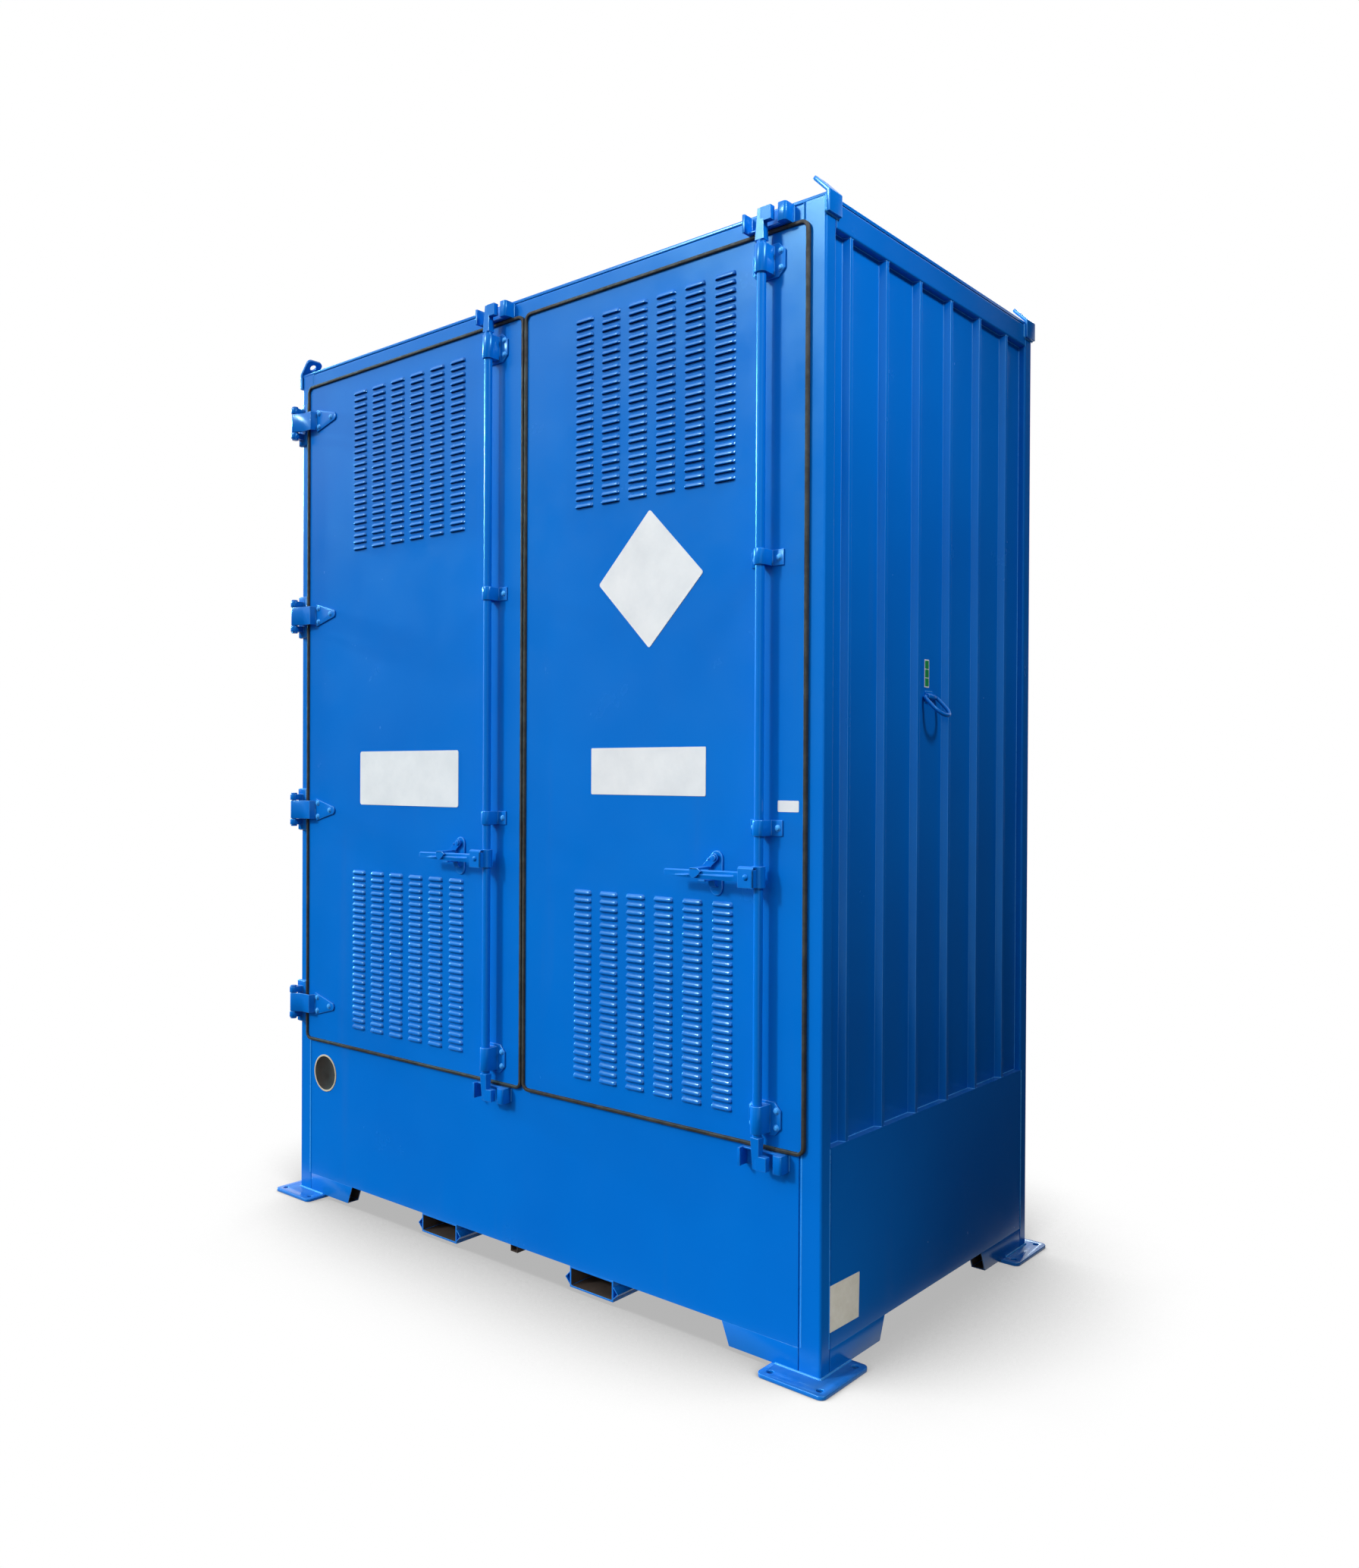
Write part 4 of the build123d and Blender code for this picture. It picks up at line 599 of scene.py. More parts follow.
def bead(heap, points, radius):
    """Weld bead with ripples along a path."""
    points = [Vector(point) for point in points]
    samples = []
    travelled = 0.0
    for start, end in zip(points, points[1:]):
        length = (end - start).length
        count = max(2, round(length / BEAD_STEP))
        for index in range(count):
            share = index / count
            samples.append((start.lerp(end, share), (end - start).normalized(), travelled + share * length))
        travelled += length
    samples.append((points[-1], (points[-1] - points[-2]).normalized(), travelled))
    rings = []
    for place, along, distance in samples:
        across = along.cross(Vector((0.31, 0.52, 0.79))).normalized()
        other = along.cross(across)
        swell = 0.9 + 0.14 * math.cos(2 * math.pi * distance / BEAD_RIPPLE) + random.uniform(-0.06, 0.06)
        ends = min(1.0, 0.35 + min(distance, travelled - distance) / (1.2 * radius))
        ring = []
        for side in range(BEAD_SIDES):
            turn = 2 * math.pi * side / BEAD_SIDES
            ring.append(place + (across * math.cos(turn) + other * math.sin(turn)) * radius * swell * ends)
        rings.append(ring)
    heap.ring_stack(rings)


def slab(heap, outline, normal, thickness):
    """Flat plate: its outline lies on what carries it and its face stands off by the thickness."""
    edge = min(0.35 * thickness, 0.6 * MM)
    middle = sum(outline, Vector()) / len(outline)
    inner = [point + (middle - point).normalized() * edge for point in outline]
    rings = [
        outline,
        [point + normal * (thickness - edge) for point in outline],
        [point + normal * thickness for point in inner],
    ]
    heap.ring_stack(rings)


def rounded_outline(centre, right, up, width, height, corner, steps=5):
    """Points of a rounded rectangle, anticlockwise about right x up."""
    points = []
    quarters = [(1, -1, -90), (1, 1, 0), (-1, 1, 90), (-1, -1, 180)]
    for sign_x, sign_y, start in quarters:
        hub = centre + right * sign_x * (width / 2 - corner) + up * sign_y * (height / 2 - corner)
        for step in range(steps + 1):
            turn = math.radians(start + 90 * step / steps)
            points.append(hub + right * corner * math.cos(turn) + up * corner * math.sin(turn))
    return points


# Places read from the frame
skin_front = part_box("leaf_left_skin")[0].y
post_left, post_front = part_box("posts_front")[0].x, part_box("posts_front")[0].y
post_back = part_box("posts_rear")[1].y
sump_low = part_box("sump_floor")[0].z
sump_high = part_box("sump_rim")[1].z
rail_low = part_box("header")[0].z
rail_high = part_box("header")[1].z
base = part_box("base_plates")[1].z
rod_low, rod_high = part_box("lock_rod_left")
rod_middle = (rod_low.y + rod_high.y) / 2
FRONTWARD = Vector((0, -1, 0))


# Leaves with pressed louvres


def hood_depth(near_end, drop):
    """Depth of a hood at a distance from its nearer end and below its top edge: a quarter of a long dome."""
    along = max(0.0, 1 - near_end / HOOD_END)
    down = 1 - drop / HOOD_DROPS[-1]
    return HOOD_DEPTH * math.sqrt(max(0.0, 1 - along ** 2 - down ** 2))


def louvred_skin(side):
    """Leaf sheet in one piece with its open pressed louvres."""
    skin = f"leaf_{side}_skin"
    low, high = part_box(skin)
    columns = sorted(solids(f"louvres_{side}_upper"), key=lambda box: box[0].x)
    lines_x = [(low.x, 0.0, False)]
    for box_low, box_high in columns:
        width = box_high.x - box_low.x
        for line in HOOD_LINES:
            offset = line * width / HOOD_LINES[-1]
            lines_x.append((box_low.x + offset, min(offset, width - offset), line < HOOD_LINES[-1]))
    lines_x.append((high.x, 0.0, False))
    lines_z = [(high.z, 0.0, False)]
    for node in (f"louvres_{side}_upper", f"louvres_{side}_lower"):
        node_low, node_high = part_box(node)
        pitch = (node_high.z - node_low.z) / LOUVRE_ROWS
        for row in range(LOUVRE_ROWS):
            top = node_high.z - row * pitch
            for drop in HOOD_DROPS:
                lines_z.append((top - drop, drop, drop == HOOD_DROPS[-1]))
            lines_z.append((top - SLOT_SILL, 0.0, False))
    lines_z.append((low.z, 0.0, False))
    points = []
    for z, drop, _ in lines_z:
        for x, near_end, _ in lines_x:
            points.append((x, skin_front - hood_depth(near_end, drop), z))
    faces = []
    across = len(lines_x)
    for row in range(len(lines_z) - 1):
        for column in range(across - 1):
            if lines_z[row][2] and lines_x[column][2]:
                continue
            corner = row * across + column
            faces.append((corner + across, corner + across + 1, corner + 1, corner))
    mesh = mesh_of(f"leaf_{side}_sheet", points, faces, 60.0)
    for polygon in mesh.polygons:
        flat = all(abs(mesh.vertices[index].co.y - skin_front) < 0.01 * MM for index in polygon.vertices)
        polygon.use_smooth = not flat
        polygon.material_index = 0 if flat else 1
    obj = place_piece(f"leaf_{side}_sheet", mesh, [door_paint, hood_paint], body_of(skin))
    sheet = obj.modifiers.new("sheet", "SOLIDIFY")
    sheet.thickness = SKIN_SHEET
    sheet.offset = -1.0
    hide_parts(skin, f"louvres_{side}_upper", f"louvres_{side}_lower")


# Fasteners


def domed_heads(node, radius, height):
    """Domed heads in place of a node's hexagons."""
    heap = Heap()
    for low, high in solids(node):
        centre = Vector(((low.x + high.x) / 2, high.y, (low.z + high.z) / 2))
        profile = [
            (radius * 1.28, 0.0),
            (radius * 1.28, 1.4 * MM),
            (radius * 1.18, 1.9 * MM),
            (radius, 2.0 * MM),
            (radius * 0.99, height * 0.55),
            (radius * 0.86, height * 0.82),
            (radius * 0.55, height * 0.97),
            (radius * 0.15, height),
        ]
        lathe(heap, centre, FRONTWARD, profile)
    mesh = mesh_of(f"{node}_heads", heap.points, heap.faces, 50.0)
    # The heads take the lighter weld paint: a painted highlight
    obj = place_piece(f"{node}_heads", mesh, [weld_highlight_paint], body_of(node))
    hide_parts(node)


# Handle gear


def dressed(node, heap, rounding, angle=34.0):
    """Piece built from gathered solids, its edges rounded over, in place of a node."""
    mesh = bpy.data.meshes.new(f"{node}_finished")
    mesh.from_pydata([tuple(point) for point in heap.points], [], heap.faces)
    bm = bmesh.new()
    bm.from_mesh(mesh)
    bmesh.ops.recalc_face_normals(bm, faces=bm.faces)
    bm.to_mesh(mesh)
    bm.free()
    mesh.shade_smooth()
    obj = place_piece(f"{node}_finished", mesh, [paint, edge_highlight_paint], body_of(node))
    round_edges(obj, rounding, 3, angle, True)
    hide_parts(node)
    return obj


def prism_y(heap, outline, front, back):
    """Solid between two planes across Y from an outline of x, z pairs."""
    heap.ring_stack([[Vector((x, y, z)) for x, z in outline] for y in (front, back)])


def prism_x(heap, outline, left, right):
    """Solid between two planes across X from an outline of y, z pairs."""
    heap.ring_stack([[Vector((x, y, z)) for y, z in outline] for x in (left, right)])


def block(heap, x0, x1, y0, y1, z0, z1):
    """Box between two places on each axis."""
    prism_y(heap, [(x0, z0), (x1, z0), (x1, z1), (x0, z1)], y0, y1)


def arc(centre_u, centre_v, radius, start, end, steps):
    """Points of an arc as pairs, from a start angle to an end angle in degrees."""
    points = []
    for step in range(steps + 1):
        turn = math.radians(start + (end - start) * step / steps)
        points.append((centre_u + radius * math.cos(turn), centre_v + radius * math.sin(turn)))
    return points


def lock_rod(side, rod):
    """Full-height rod whose ends are forged into cams with a square nose."""
    heap = Heap()
    low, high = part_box(f"lock_rod_{side}")
    bearings_low, bearings_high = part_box(f"rod_bearings_{side}")
    start = bearings_low.z - 3 * MM
    stop = bearings_high.z + 3 * MM
    profile = [(ROD_RADIUS, start), (ROD_RADIUS, stop)]
    lathe(heap, Vector((rod, rod_middle, 0)), Vector((0, 0, 1)), profile, sides=28)
    for root, tip in ((start + 1 * MM, low.z), (stop - 1 * MM, high.z)):
        rings = []
        for z, (width, depth) in ((root, NOSE_ROOT), (tip, NOSE_TIP)):
            corners = ((-1, -1), (1, -1), (1, 1), (-1, 1))
            rings.append([Vector((rod + x * width / 2, rod_middle + y * depth / 2, z)) for x, y in corners])
        heap.ring_stack(rings)
        inner = tip + math.copysign(CAM_HEIGHT, root - tip)
        front, back = rod_middle - CAM_HALF, rod_middle + CAM_HALF
        block(heap, rod, rod + CAM_REACH, front, back, min(inner, tip), max(inner, tip))
    dressed(f"lock_rod_{side}", heap, 1.5 * MM)


def handle_hub(side, rod, middle):
    """Collar round the rod and the strip folded over the bar's root, with a domed rivet."""
    heap = Heap()
    low = middle - COLLAR_HALF
    high = middle + COLLAR_HALF
    rings = []
    for radius, z in ((COLLAR_BORE, low), (COLLAR_RADIUS, low), (COLLAR_RADIUS, high), (COLLAR_BORE, high)):
        rings.append([Vector((x, y, z)) for x, y in arc(rod, rod_middle, radius, 0, 350, 35)])
    heap.ring_stack(rings + rings[:1], closed_ends=False)
    crown = high - FOLD_RADIUS
    inner = FOLD_RADIUS - CHEEK_SHEET
    outline = [(CHEEK_FRONT, low)]
    outline += arc(CHEEK_FRONT + FOLD_RADIUS, crown, FOLD_RADIUS, 180, 90, 6)
    outline += arc(CHEEK_BACK - FOLD_RADIUS, crown, FOLD_RADIUS, 90, 0, 6)
    outline += [(CHEEK_BACK, low), (CHEEK_BACK - CHEEK_SHEET, low)]
    outline += arc(CHEEK_BACK - FOLD_RADIUS, crown, inner, 0, 90, 4)
    outline += arc(CHEEK_FRONT + FOLD_RADIUS, crown, inner, 90, 180, 4)
    outline += [(CHEEK_FRONT + CHEEK_SHEET, low)]
    prism_x(heap, outline, rod - FOLD_LEFT, rod + FOLD_RIGHT)
    block(heap, rod + 1.5 * MM, rod + FOLD_RIGHT, CHEEK_FRONT, rod_middle - 14 * MM, low + 1 * MM, crown)
    dome = turned((9.0, 0.0), (8.8, 1.5), (7.6, 3.6), (5.2, 5.2), (2.0, 5.9))
    lathe(heap, Vector((rod - RIVET_FROM_ROD, CHEEK_FRONT, middle)), FRONTWARD, dome, sides=24)
    dressed(f"handle_hub_{side}", heap, 1.3 * MM)


def handle_bar(side, rivet, middle):
    """Bar pressed into a waist where the catch holds it."""
    heap = Heap()
    rings = []
    for reach, upper, ridge, lower, back, high, step_high, step_low, low in BAR_SECTIONS:
        x = rivet - reach * MM
        shoulder = min(BAR_SHOULDER, 0.3 * high)
        corners = (
            (upper - shoulder, high),
            (upper, high - shoulder),
            (upper, step_high),
            (ridge, step_low),
            (lower, low),
            (back, low),
            (back, high),
        )
        rings.append([Vector((x, -y * MM, middle + z * MM)) for y, z in corners])
    heap.ring_stack(rings)
    dressed(f"handle_{side}", heap, 1.1 * MM, 28.0)


def handle_keeper(side, pivot, middle):
    """Oblong plate with a tongue under the bar and the catch's pin above it."""
    heap = Heap()
    rings = []
    for proud, inset in ((0.0, 0.0), (4.0, 0.0), (5.3, 0.7), (5.9, 1.9), (6.0, 3.2)):
        y = skin_front - proud * MM
        radius = KEEPER_RADIUS - inset * MM
        outline = arc(pivot, middle + KEEPER_STRAIGHT, radius, 0, 180, 18)
        outline += arc(pivot, middle - KEEPER_STRAIGHT, radius, 180, 360, 18)
        rings.append([Vector((x, y, z)) for x, z in outline])
    heap.ring_stack(rings)
    plate = skin_front - KEEPER_PLATE
    upper_side = [(2, -37), (-7, -36), (-11, -30), (-13, -20), (-17, -17), (-64, -16.5)]
    lower_side = [(-64, -21), (-20, -21.5), (-17.5, -24), (-15.5, -32), (-9, -40.5), (2, -41.5)]
    tongue = [(plate + y * MM, middle + z * MM) for y, z in upper_side + lower_side]
    prism_x(heap, tongue, pivot - 17 * MM, pivot + 7 * MM)
    pin = middle + PIVOT_ABOVE_BAR
    shank = [(8.5 * MM, 0.0), (8.5 * MM, plate - EYE_BACK)]
    head = turned((9.0, 0.0), (9.0, 2.2), (8.0, 4.0), (5.5, 4.8), (1.5, 5.0))
    lathe(heap, Vector((pivot, plate + 1 * MM, pin)), FRONTWARD, shank, sides=24)
    lathe(heap, Vector((pivot, EYE_FRONT - 0.3 * MM, pin)), FRONTWARD, head, sides=24)
    piece = dressed(f"handle_keeper_{side}", heap, 1.2 * MM)
    # The plate's rim takes the lighter edge paint: a painted highlight
    for polygon in piece.data.polygons:
        if plate + 0.01 * MM < polygon.center.y < skin_front - 4.1 * MM:
            polygon.material_index = 1


def catch(side, pivot, middle):
    """Strip on the pin that folds over the bar and hooks down in front of it, with a small knob."""
    heap = Heap()
    pin = middle + PIVOT_ABOVE_BAR
    strip = arc(pivot, pin, EYE_RADIUS, -35, 150, 16)
    strip += [(pivot - x * MM, middle + z * MM) for x, z in ((43, 22), (43, 13), (15, 13), (6, 24))]
    prism_y(heap, strip, EYE_FRONT, EYE_BACK)
    places = ((EYE_BACK, 13), (EYE_BACK, 19.5), (CATCH_FRONT, 17.5), (CATCH_FRONT, 13))
    flap = [(y, middle + z * MM) for y, z in places]
    prism_x(heap, flap, pivot - 43 * MM, pivot - 15 * MM)
    lip = [(-43, 17), (-46, 8), (-44, -3), (-34, -12), (-26, -12), (-12, -2), (-2, 9), (-15, 17)]
    prism_y(heap, [(pivot + x * MM, middle + z * MM) for x, z in lip], CATCH_FRONT, LIP_BACK)
    knob = turned((2.2, -2.0), (2.2, 3.0), (4.2, 4.2), (4.8, 6.6), (3.8, 9.0), (1.2, 10.2))
    start = Vector((pivot - 14 * MM, (EYE_FRONT + EYE_BACK) / 2, pin - 6 * MM))
    lathe(heap, start, Vector((-1, -0.25, 0.35)), knob, sides=16)
    dressed(f"catch_{side}", heap, 1.3 * MM)


for side in ("left", "right"):
    rod_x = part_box(f"handle_hub_{side}")[1].x - COLLAR_RADIUS
    lock_rod(side, rod_x)
    bar_z = (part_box(f"handle_{side}")[0].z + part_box(f"handle_{side}")[1].z) / 2
    handle_hub(side, rod_x, bar_z)
    handle_bar(side, rod_x - RIVET_FROM_ROD, bar_z)
    handle_keeper(side, rod_x - PIVOT_FROM_ROD, bar_z)
    catch(side, rod_x - PIVOT_FROM_ROD, bar_z)


# The store's fixed steel


def in_pocket(face):
    """Faces inside a fork pocket."""
    centre = face.calc_center_median()
    for low, high in pocket_boxes:
        if all(low[axis] + POCKET_MARGIN < centre[axis] < high[axis] - POCKET_MARGIN for axis in (0, 2)):
            return abs(face.normal.y) < 0.5
    return False


def in_stub(face):
    """Faces inside a foot stub."""
    centre = face.calc_center_median()
    for low, high in stub_boxes:
        clear = all(low[axis] + STUB_MARGIN < centre[axis] < high[axis] - STUB_MARGIN for axis in range(3))
        if clear and abs(face.normal.z) + max(abs(face.normal.x), abs(face.normal.y)) > 0.9:
            return True
    return False


pocket_boxes = solids("fork_pockets")
stub_boxes = solids("foot_stubs")

softened("roof_sheet", 1.4 * MM)
softened("base_plates", 1.6 * MM)
# Faces inside the stubs and pockets take the dark primer: partly painted shade
softened("foot_stubs", 1.0 * MM, inside=in_stub)
softened("lifting_lugs", 2.0 * MM, segments=3)
softened("fork_pockets", 1.2 * MM, inside=in_pocket)
softened("pocket_angles", 0.8 * MM)
softened("centre_bearer", 0.8 * MM, materials=[primer_and_shade, primer_and_shade, primer_and_shade])
for wall in ("wall_left", "wall_right", "wall_rear"):
    softened(wall, 1.1 * MM)
softened("hinge_lugs", 1.6 * MM)
softened("hinge_pins", 2.0 * MM, segments=3)
softened("hinge_straps", 1.6 * MM)
softened("header_keepers", 1.2 * MM)
softened("sill_keepers", 1.2 * MM)
softened("ring_bracket", 0.8 * MM)
for side in ("left", "right"):
    louvred_skin(side)
    softened(f"gasket_{side}", 3.4 * MM, materials=[seal, seal], segments=4)
    softened(f"rod_bearings_{side}", 1.4 * MM)
    softened(f"rod_guides_{side}", 1.3 * MM)
    domed_heads(f"lock_bolts_{side}", 7.6 * MM, 6.4 * MM)
domed_heads("strap_bolts", 8.2 * MM, 6.6 * MM)

finish_with(paint, "posts_front", "posts_rear", "header", "top_rails", "deck_beams", "floor_bearers")
finish_with(paint, "leaf_left_frame", "leaf_right_frame", "fold_hinge_left", "fold_hinge_right", "pull_ring")
finish_with(paint, "sump_floor", "sump_walls", "sump_corners", "sump_rim")
finish_with(zinc_grate, "floor_grating", "deck_grating")
finish_with(turned_steel, "fold_pins")


# Welds


def frame_welds():
    """Beads on the store's frame, tub, feet, lugs and keepers."""
    heap = Heap()
    left, front, back = post_left, post_front, post_back
    for sign in (-1, 1):
        x = sign * (abs(left) - SEAM_X)
        side = sign * abs(left)
        sunk = sign * (abs(left) - SEAM_SINK)
        for y in (front + SEAM_SINK, back - SEAM_SINK):
            bead(heap, [(x, y, sump_low), (x, y, sump_high)], SEAM_BEAD)
        for y in (front + SEAM_Y, back - SEAM_Y):
            bead(heap, [(sunk, y, sump_low), (sunk, y, sump_high)], SEAM_BEAD)
        post_edge = sign * (abs(left) - POST_X)
        bead(heap, [(post_edge, front, rail_low), (post_edge, front, rail_high)], RAIL_BEAD)
        for y in (front + POST_Y, back - POST_Y):
            bead(heap, [(side, y, rail_low), (side, y, rail_high)], RAIL_BEAD)
    for low, high in solids("lifting_lugs"):
        face = left if low.x < 0 else -left
        path = [(low.y, rail_high), (low.y, low.z), (high.y, low.z), (high.y, rail_high)]
        bead(heap, [(face, y, z) for y, z in path], LUG_BEAD)
    for low, high in solids("base_plates"):
        sign = -1 if low.x < 0 else 1
        side = sign * abs(left)
        outer = front if low.y < 0 else back
        inward = 1 if low.y < 0 else -1
        end_x = sign * (abs(left) - FOOT_END_X)
        end_y = outer + inward * FOOT_END_Y
        bead(heap, [(end_x, outer, base), (side, outer, base), (side, end_y, base)], FOOT_BEAD)
    edge = left + HINGE_EDGE
    wrap = front + HINGE_WRAP
    for low, high in solids("hinge_lugs"):
        bead(heap, [(edge, front, low.z + 2 * MM), (edge, front, high.z - 2 * MM)], HINGE_BEAD)
        bead(heap, [(left, wrap, low.z + 2 * MM), (left, wrap, high.z - 2 * MM)], HINGE_BEAD)
        for z in (low.z, high.z):
            bead(heap, [(edge, front, z), (left - 8 * MM, front - 5 * MM, z)], HINGE_END_BEAD)
    for node in ("header_keepers", "sill_keepers"):
        for low, high in solids(node):
            for x in (low.x, high.x):
                bead(heap, [(x, front, low.z + 3 * MM), (x, front, high.z - 3 * MM)], KEEPER_BEAD)
            z = high.z if node == "header_keepers" else low.z
            for x in (low.x + 20 * MM, high.x - 48 * MM):
                bead(heap, [(x, front, z), (x + 26 * MM, front, z)], KEEPER_BEAD)
    low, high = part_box("ring_bracket")
    for z in (low.z, high.z):
        bead(heap, [(low.x, low.y, z), (low.x, high.y, z)], RING_BEAD)
    for low, high in pocket_boxes:
        for x in (low.x, high.x):
            bead(heap, [(x, front + 2 * MM, sump_low), (x, front + POCKET_END, sump_low)], POCKET_BEAD)
    mesh = mesh_of("frame_welds", heap.points, heap.faces, 80.0)
    place_piece("frame_welds", mesh, [weld_highlight_paint], "store")


def rib_path(node_name, z):
    """Outline of a side wall's ribbed sheet at a height, as points from front to back."""
    bm = node_bmesh(node_name)
    level = min(vert.co.z for vert in bm.verts)
    outward = 1 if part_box(node_name)[0].x > 0 else -1
    chosen = {}
    for vert in bm.verts:
        if abs(vert.co.z - level) < 0.1 * MM:
            key = round(vert.co.y / MM, 1)
            best = chosen.get(key)
            if best is None or outward * vert.co.x > outward * best.x:
                chosen[key] = vert.co.copy()
    bm.free()
    far = max(outward * co.x for co in chosen.values())
    near = min(outward * co.x for co in chosen.values()) + WALL_SHEET
    kept = []
    for co in chosen.values():
        reach = outward * co.x
        if abs(reach - far) < 0.2 * MM or reach >= near - 0.2 * MM:
            kept.append(co)
    kept.sort(key=lambda co: co.y)
    return [(co.x, co.y, z) for co in kept]


def wall_seams():
    """Thin sealed seams where the ribbed side walls meet the tub and the rails."""
    heap = Heap()
    for node in ("wall_left", "wall_right"):
        for z in (sump_high, rail_low):
            bead(heap, rib_path(node, z), WALL_BEAD)
        outward = 1 if node == "wall_right" else -1
        sheet = outward * (abs(post_left) - WALL_RECESS)
        for y in (post_front + POST_Y, post_back - POST_Y):
            bead(heap, [(sheet, y, sump_high), (sheet, y, rail_low)], WALL_END_BEAD)
    mesh = mesh_of("wall_seams", heap.points, heap.faces, 80.0)
    place_piece("wall_seams", mesh, [weld_highlight_paint], "store")


frame_welds()
wall_seams()


# Signs, all of them bare


def front_plate(name, x0, x1, z0, z1, body, corner, thickness=1.6 * MM, turn=0.0):
    """Plate on a leaf's skin, from its place in mm."""
    left_x = post_left + x0 * MM
    right_x = post_left + x1 * MM
    low_z = base + z0 * MM
    high_z = base + z1 * MM
    centre = Vector(((left_x + right_x) / 2, skin_front, (low_z + high_z) / 2))
    right = Vector((math.cos(turn), 0, math.sin(turn)))
    up = Vector((-math.sin(turn), 0, math.cos(turn)))
    outline = rounded_outline(centre, right, up, right_x - left_x, high_z - low_z, corner)
    heap = Heap()
    slab(heap, outline, FRONTWARD, thickness)
    mesh = mesh_of(name, heap.points, heap.faces, 40.0)
    place_piece(name, mesh, [plate_white], body)


diamond = [middle + offset for middle in DIAMOND_MIDDLE for offset in (-DIAMOND_HALF, DIAMOND_HALF)]
front_plate("sign_plate_left", *SIGN_LEFT, "leaf_left", corner=9 * MM)
front_plate("sign_plate_right", *SIGN_RIGHT, "leaf_right", corner=4 * MM)
front_plate("sign_diamond", *diamond, "leaf_right", corner=8 * MM, turn=math.radians(45))
front_plate("sticker_right", *STICKER, "leaf_right", corner=3 * MM, thickness=0.5 * MM)


def badge_disc():
    """Round plaque on the tub with a pale rim."""
    heap = Heap()
    across, above = BADGE_MIDDLE
    centre = Vector((post_left + across * MM, post_front, base + above * MM))
    profile = turned((72.5, 0.0), (72.5, 1.6), (71.5, 2.2), (67.0, 2.2), (66.0, 1.6), (20.0, 1.6), (2.0, 1.6))
    lathe(heap, centre, FRONTWARD, profile, sides=72)
    mesh = mesh_of("badge_disc", heap.points, heap.faces, 40.0)
    place_piece("badge_disc", mesh, [disc_rim, disc_dark], "store")
    for polygon in mesh.polygons:
        offset = Vector(polygon.center) - centre
        if Vector((offset.x, 0, offset.z)).length < BADGE_FIELD * MM:
            polygon.material_index = 1


badge_disc()


def side_plate(name, y0, y1, z0, z1, x, corner, thickness, material, tilt=0.0):
    """Plate on a surface that faces +X, from its place in mm."""
    centre = Vector((x, post_front + (y0 + y1) / 2 * MM, base + (z0 + z1) / 2 * MM))
    right = Vector((0, math.cos(tilt), math.sin(tilt)))
    up = Vector((0, -math.sin(tilt), math.cos(tilt)))
    outline = rounded_outline(centre, right, up, (y1 - y0) * MM, (z1 - z0) * MM, corner)
    heap = Heap()
    slab(heap, outline, Vector((1, 0, 0)), thickness)
    mesh = mesh_of(name, heap.points, heap.faces, 40.0)
    place_piece(name, mesh, [material], "store")


wall_face = abs(post_left) - WALL_RECESS
side_plate("strip_border", *STRIP, wall_face, 2 * MM, STRIP_PROUD, plate_white)
for index in range(3):
    start = STRIP_START + STRIP_PITCH * index
    place = (*STRIP_FIELD, start, start + STRIP_HEIGHT, wall_face + STRIP_PROUD)
    side_plate(f"strip_field_{index + 1}", *place, 1.5 * MM, 0.4 * MM, strip_green)
side_plate("paper_label", *LABEL, abs(post_left), 2 * MM, 0.6 * MM, paper, math.radians(LABEL_TILT))


# Stage


def plane(name, corners, material):
    """Flat stage piece through four corners."""
    mesh = bpy.data.meshes.new(name)
    mesh.from_pydata(corners, [], [(0, 1, 2, 3)])
    obj = bpy.data.objects.new(name, mesh)
    bpy.context.scene.collection.objects.link(obj)
    mesh.materials.append(material)
    return obj


def background_rays(tree):
    """1 for the rays that see the white background: camera, mirror and glass rays."""
    path = add(tree, "ShaderNodeLightPath")
    glossy = add(tree, "ShaderNodeMath", operation="MAXIMUM")
    tree.links.new(path.outputs["Is Camera Ray"], glossy.inputs[0])
    tree.links.new(path.outputs["Is Glossy Ray"], glossy.inputs[1])
    clear = add(tree, "ShaderNodeMath", operation="MAXIMUM")
    tree.links.new(glossy.outputs[0], clear.inputs[0])
    tree.links.new(path.outputs["Is Transmission Ray"], clear.inputs[1])
    return clear.outputs[0]


def floor():
    """White floor that keeps the object's soft shadow."""
    material = bpy.data.materials.new("floor_white")
    material.use_nodes = True
    tree = material.node_tree
    tree.nodes.clear()
    out = add(tree, "ShaderNodeOutputMaterial")
    diffuse = add(tree, "ShaderNodeBsdfDiffuse")
    diffuse.inputs["Color"].default_value = (*FLOOR_BOUNCE, 1)
    seen = add(tree, "ShaderNodeEmission")
    shade = add(tree, "ShaderNodeAmbientOcclusion", samples=16)
    shade.inputs["Distance"].default_value = SHADOW_REACH
    lean = add(tree, "ShaderNodeCombineXYZ")
    for socket, value in zip(lean.inputs, SHADOW_LEAN):
        socket.default_value = value
    tree.links.new(lean.outputs[0], shade.inputs["Normal"])
    level = spread(tree, shade.outputs["AO"], *SHADOW_RANGE)
    tree.links.new(mix(tree, level, (0.0, 0.0, 0.0), (1.0, 1.0, 1.0)), seen.inputs["Color"])
    choice = add(tree, "ShaderNodeMixShader")
    tree.links.new(background_rays(tree), choice.inputs[0])
    tree.links.new(diffuse.outputs[0], choice.inputs[1])
    tree.links.new(seen.outputs[0], choice.inputs[2])
    tree.links.new(choice.outputs[0], out.inputs[0])
    half = FLOOR_HALF
    plane("floor", [(-half, -half, 0), (half, -half, 0), (half, half, 0), (-half, half, 0)], material)


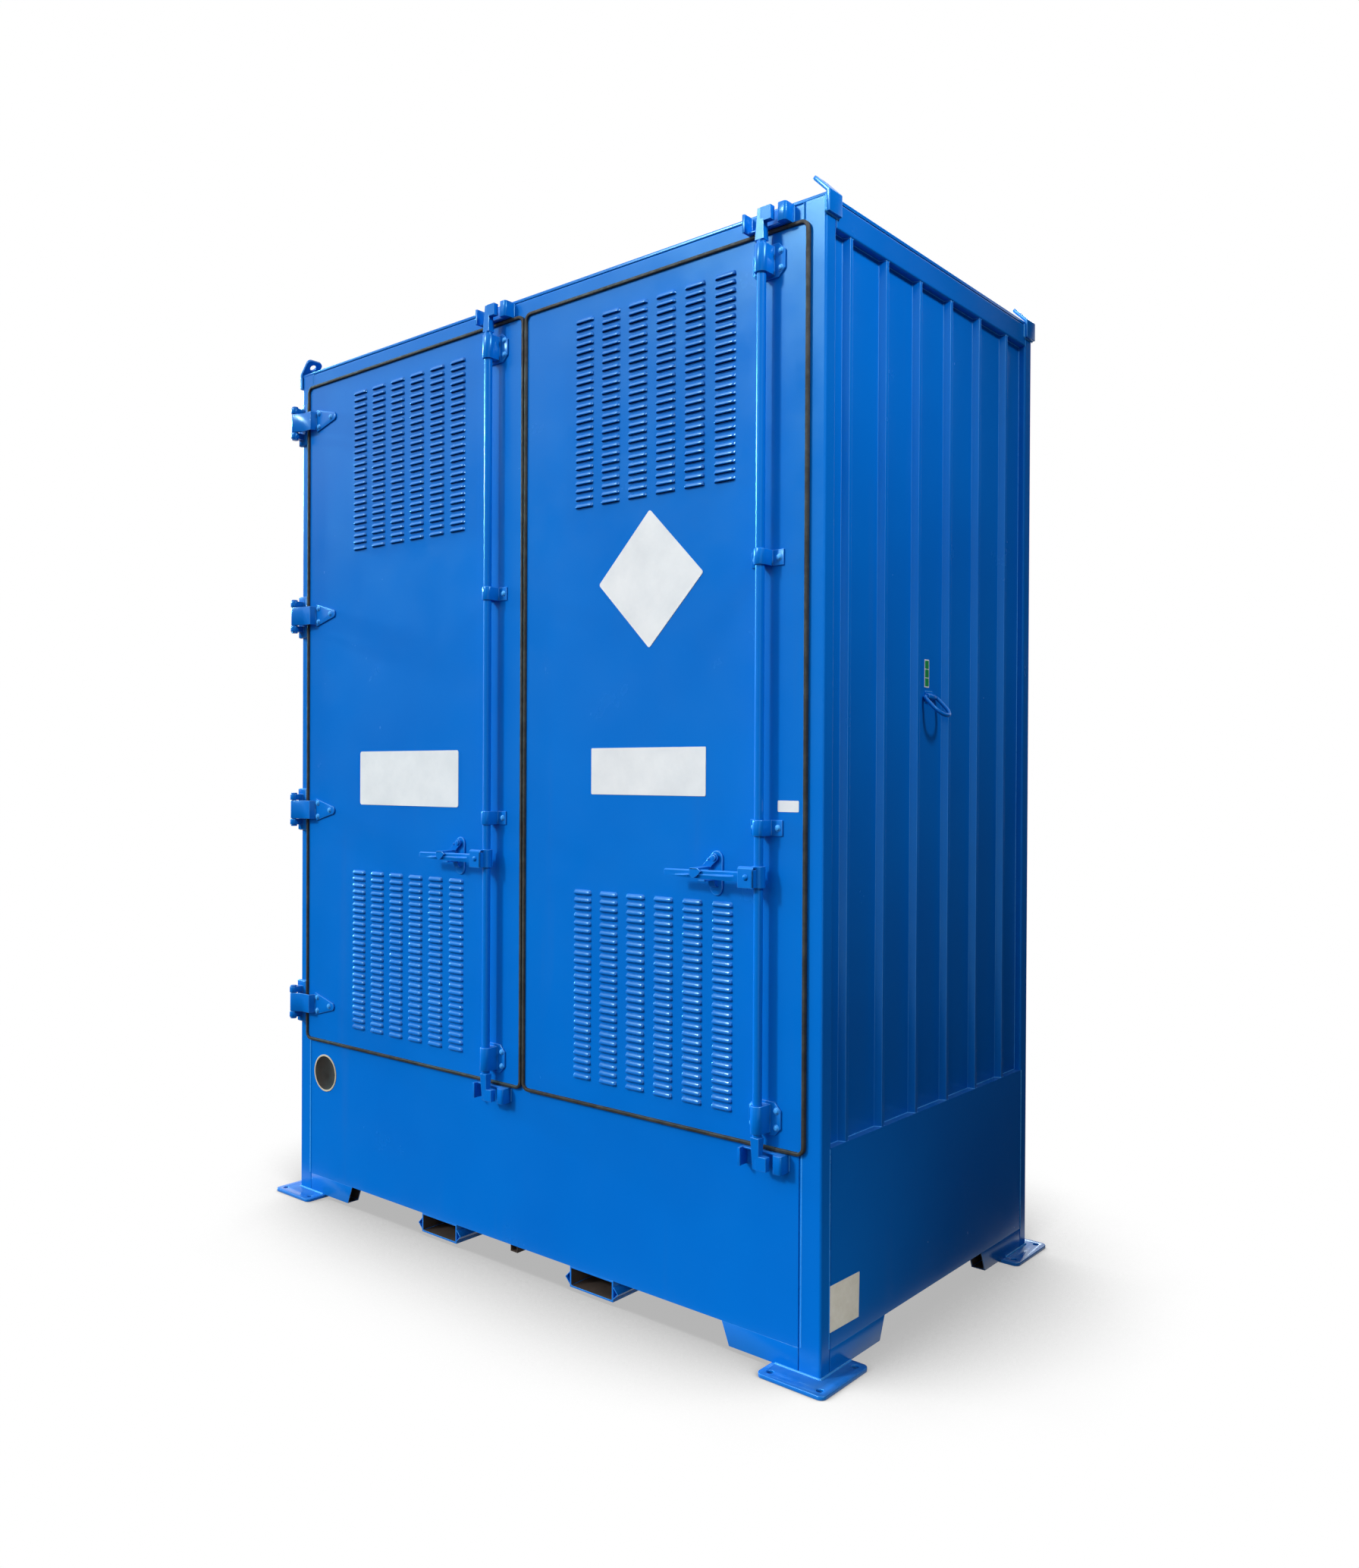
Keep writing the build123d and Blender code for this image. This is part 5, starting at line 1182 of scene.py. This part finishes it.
def world():
    """White background; a soft sky, brighter high up and at the front left, lights the object."""
    scene_world = bpy.data.worlds.new("studio")
    bpy.context.scene.world = scene_world
    scene_world.use_nodes = True
    tree = scene_world.node_tree
    tree.nodes.clear()
    out = add(tree, "ShaderNodeOutputWorld")
    place = add(tree, "ShaderNodeTexCoord")
    parts = add(tree, "ShaderNodeSeparateXYZ")
    tree.links.new(place.outputs["Generated"], parts.inputs[0])
    height = spread(tree, parts.outputs["Z"], *SKY_HEIGHTS)
    sky = mix(tree, height, SKY_LOW, SKY_HIGH)
    soft = add(tree, "ShaderNodeBackground")
    tree.links.new(sky, soft.inputs["Color"])
    side = add(tree, "ShaderNodeVectorMath", operation="DOT_PRODUCT")
    side.inputs[1].default_value = SKY_BRIGHT
    tree.links.new(place.outputs["Generated"], side.inputs[0])
    strength = spread(tree, side.outputs["Value"], *SKY_SIDES, *SKY_BACK_FRONT)
    tree.links.new(strength, soft.inputs["Strength"])
    white = add(tree, "ShaderNodeBackground")
    white.inputs["Color"].default_value = (1, 1, 1, 1)
    choice = add(tree, "ShaderNodeMixShader")
    tree.links.new(background_rays(tree), choice.inputs[0])
    tree.links.new(soft.outputs[0], choice.inputs[1])
    tree.links.new(white.outputs[0], choice.inputs[2])
    tree.links.new(choice.outputs[0], out.inputs[0])


def dark_card(name, corners):
    """Dark card that only gloss sees, as a photographer sets one to keep a colour deep."""
    material = bpy.data.materials.new(name)
    material.use_nodes = True
    tree = material.node_tree
    tree.nodes.clear()
    out = add(tree, "ShaderNodeOutputMaterial")
    black = add(tree, "ShaderNodeEmission")
    black.inputs["Color"].default_value = (*CARD_COLOUR, 1)
    tree.links.new(black.outputs[0], out.inputs[0])
    card = plane(name, corners, material)
    card.visible_camera = False
    card.visible_diffuse = False
    card.visible_shadow = False
    card.visible_transmission = False


def sun(name, towards, strength, angle, colour):
    """Distant soft lamp whose light comes from a direction."""
    data = bpy.data.lights.new(name, "SUN")
    data.energy = strength
    data.angle = math.radians(angle)
    data.color = colour
    obj = bpy.data.objects.new(name, data)
    obj.rotation_euler = Vector(towards).to_track_quat("Z", "Y").to_euler()
    bpy.context.scene.collection.objects.link(obj)
    return obj


def lamp(name, kind, place, target, power, colour, **values):
    """Lamp that looks at a target."""
    data = bpy.data.lights.new(name, kind)
    data.energy = power
    data.color = colour
    for key, value in values.items():
        setattr(data, key, value)
    obj = bpy.data.objects.new(name, data)
    obj.location = place
    obj.rotation_euler = (Vector(target) - Vector(place)).to_track_quat("-Z", "Y").to_euler()
    bpy.context.scene.collection.objects.link(obj)


def camera():
    """The photograph's camera."""
    level = math.cos(CAMERA_PITCH)
    forward = Vector((math.sin(CAMERA_YAW) * level, math.cos(CAMERA_YAW) * level, math.sin(CAMERA_PITCH)))
    level_right = Vector((math.cos(CAMERA_YAW), -math.sin(CAMERA_YAW), 0))
    level_up = level_right.cross(forward)
    right = level_right * math.cos(CAMERA_ROLL) + level_up * math.sin(CAMERA_ROLL)
    up = level_up * math.cos(CAMERA_ROLL) - level_right * math.sin(CAMERA_ROLL)
    data = bpy.data.cameras.new("camera")
    data.lens = CAMERA_LENS
    data.sensor_width = CAMERA_SENSOR
    data.sensor_fit = "AUTO"
    obj = bpy.data.objects.new("camera", data)
    turn = Matrix((right, up, -forward)).transposed()
    obj.matrix_world = Matrix.Translation(CAMERA_PLACE) @ turn.to_4x4()
    bpy.context.scene.collection.objects.link(obj)
    bpy.context.scene.camera = obj


floor()
world()
for card_name, card_corners in CARDS.items():
    dark_card(card_name, card_corners)
sun("key", *KEY)
soft = sun("soft_front", *SOFT_FRONT)
soft.visible_glossy = False
sun("rim", *RIM)
lamp("side_fill", "SPOT", *SIDE_FILL, spot_size=math.radians(54), spot_blend=1.0, shadow_soft_size=0.5)
lamp("low_fill", "SPOT", *LOW_FILL, spot_size=math.radians(19), spot_blend=1.0, shadow_soft_size=0.4)
lamp("rear_fill", "AREA", *REAR_FILL, size=4.0)
camera()
bpy.context.scene.view_settings.view_transform = "Standard"
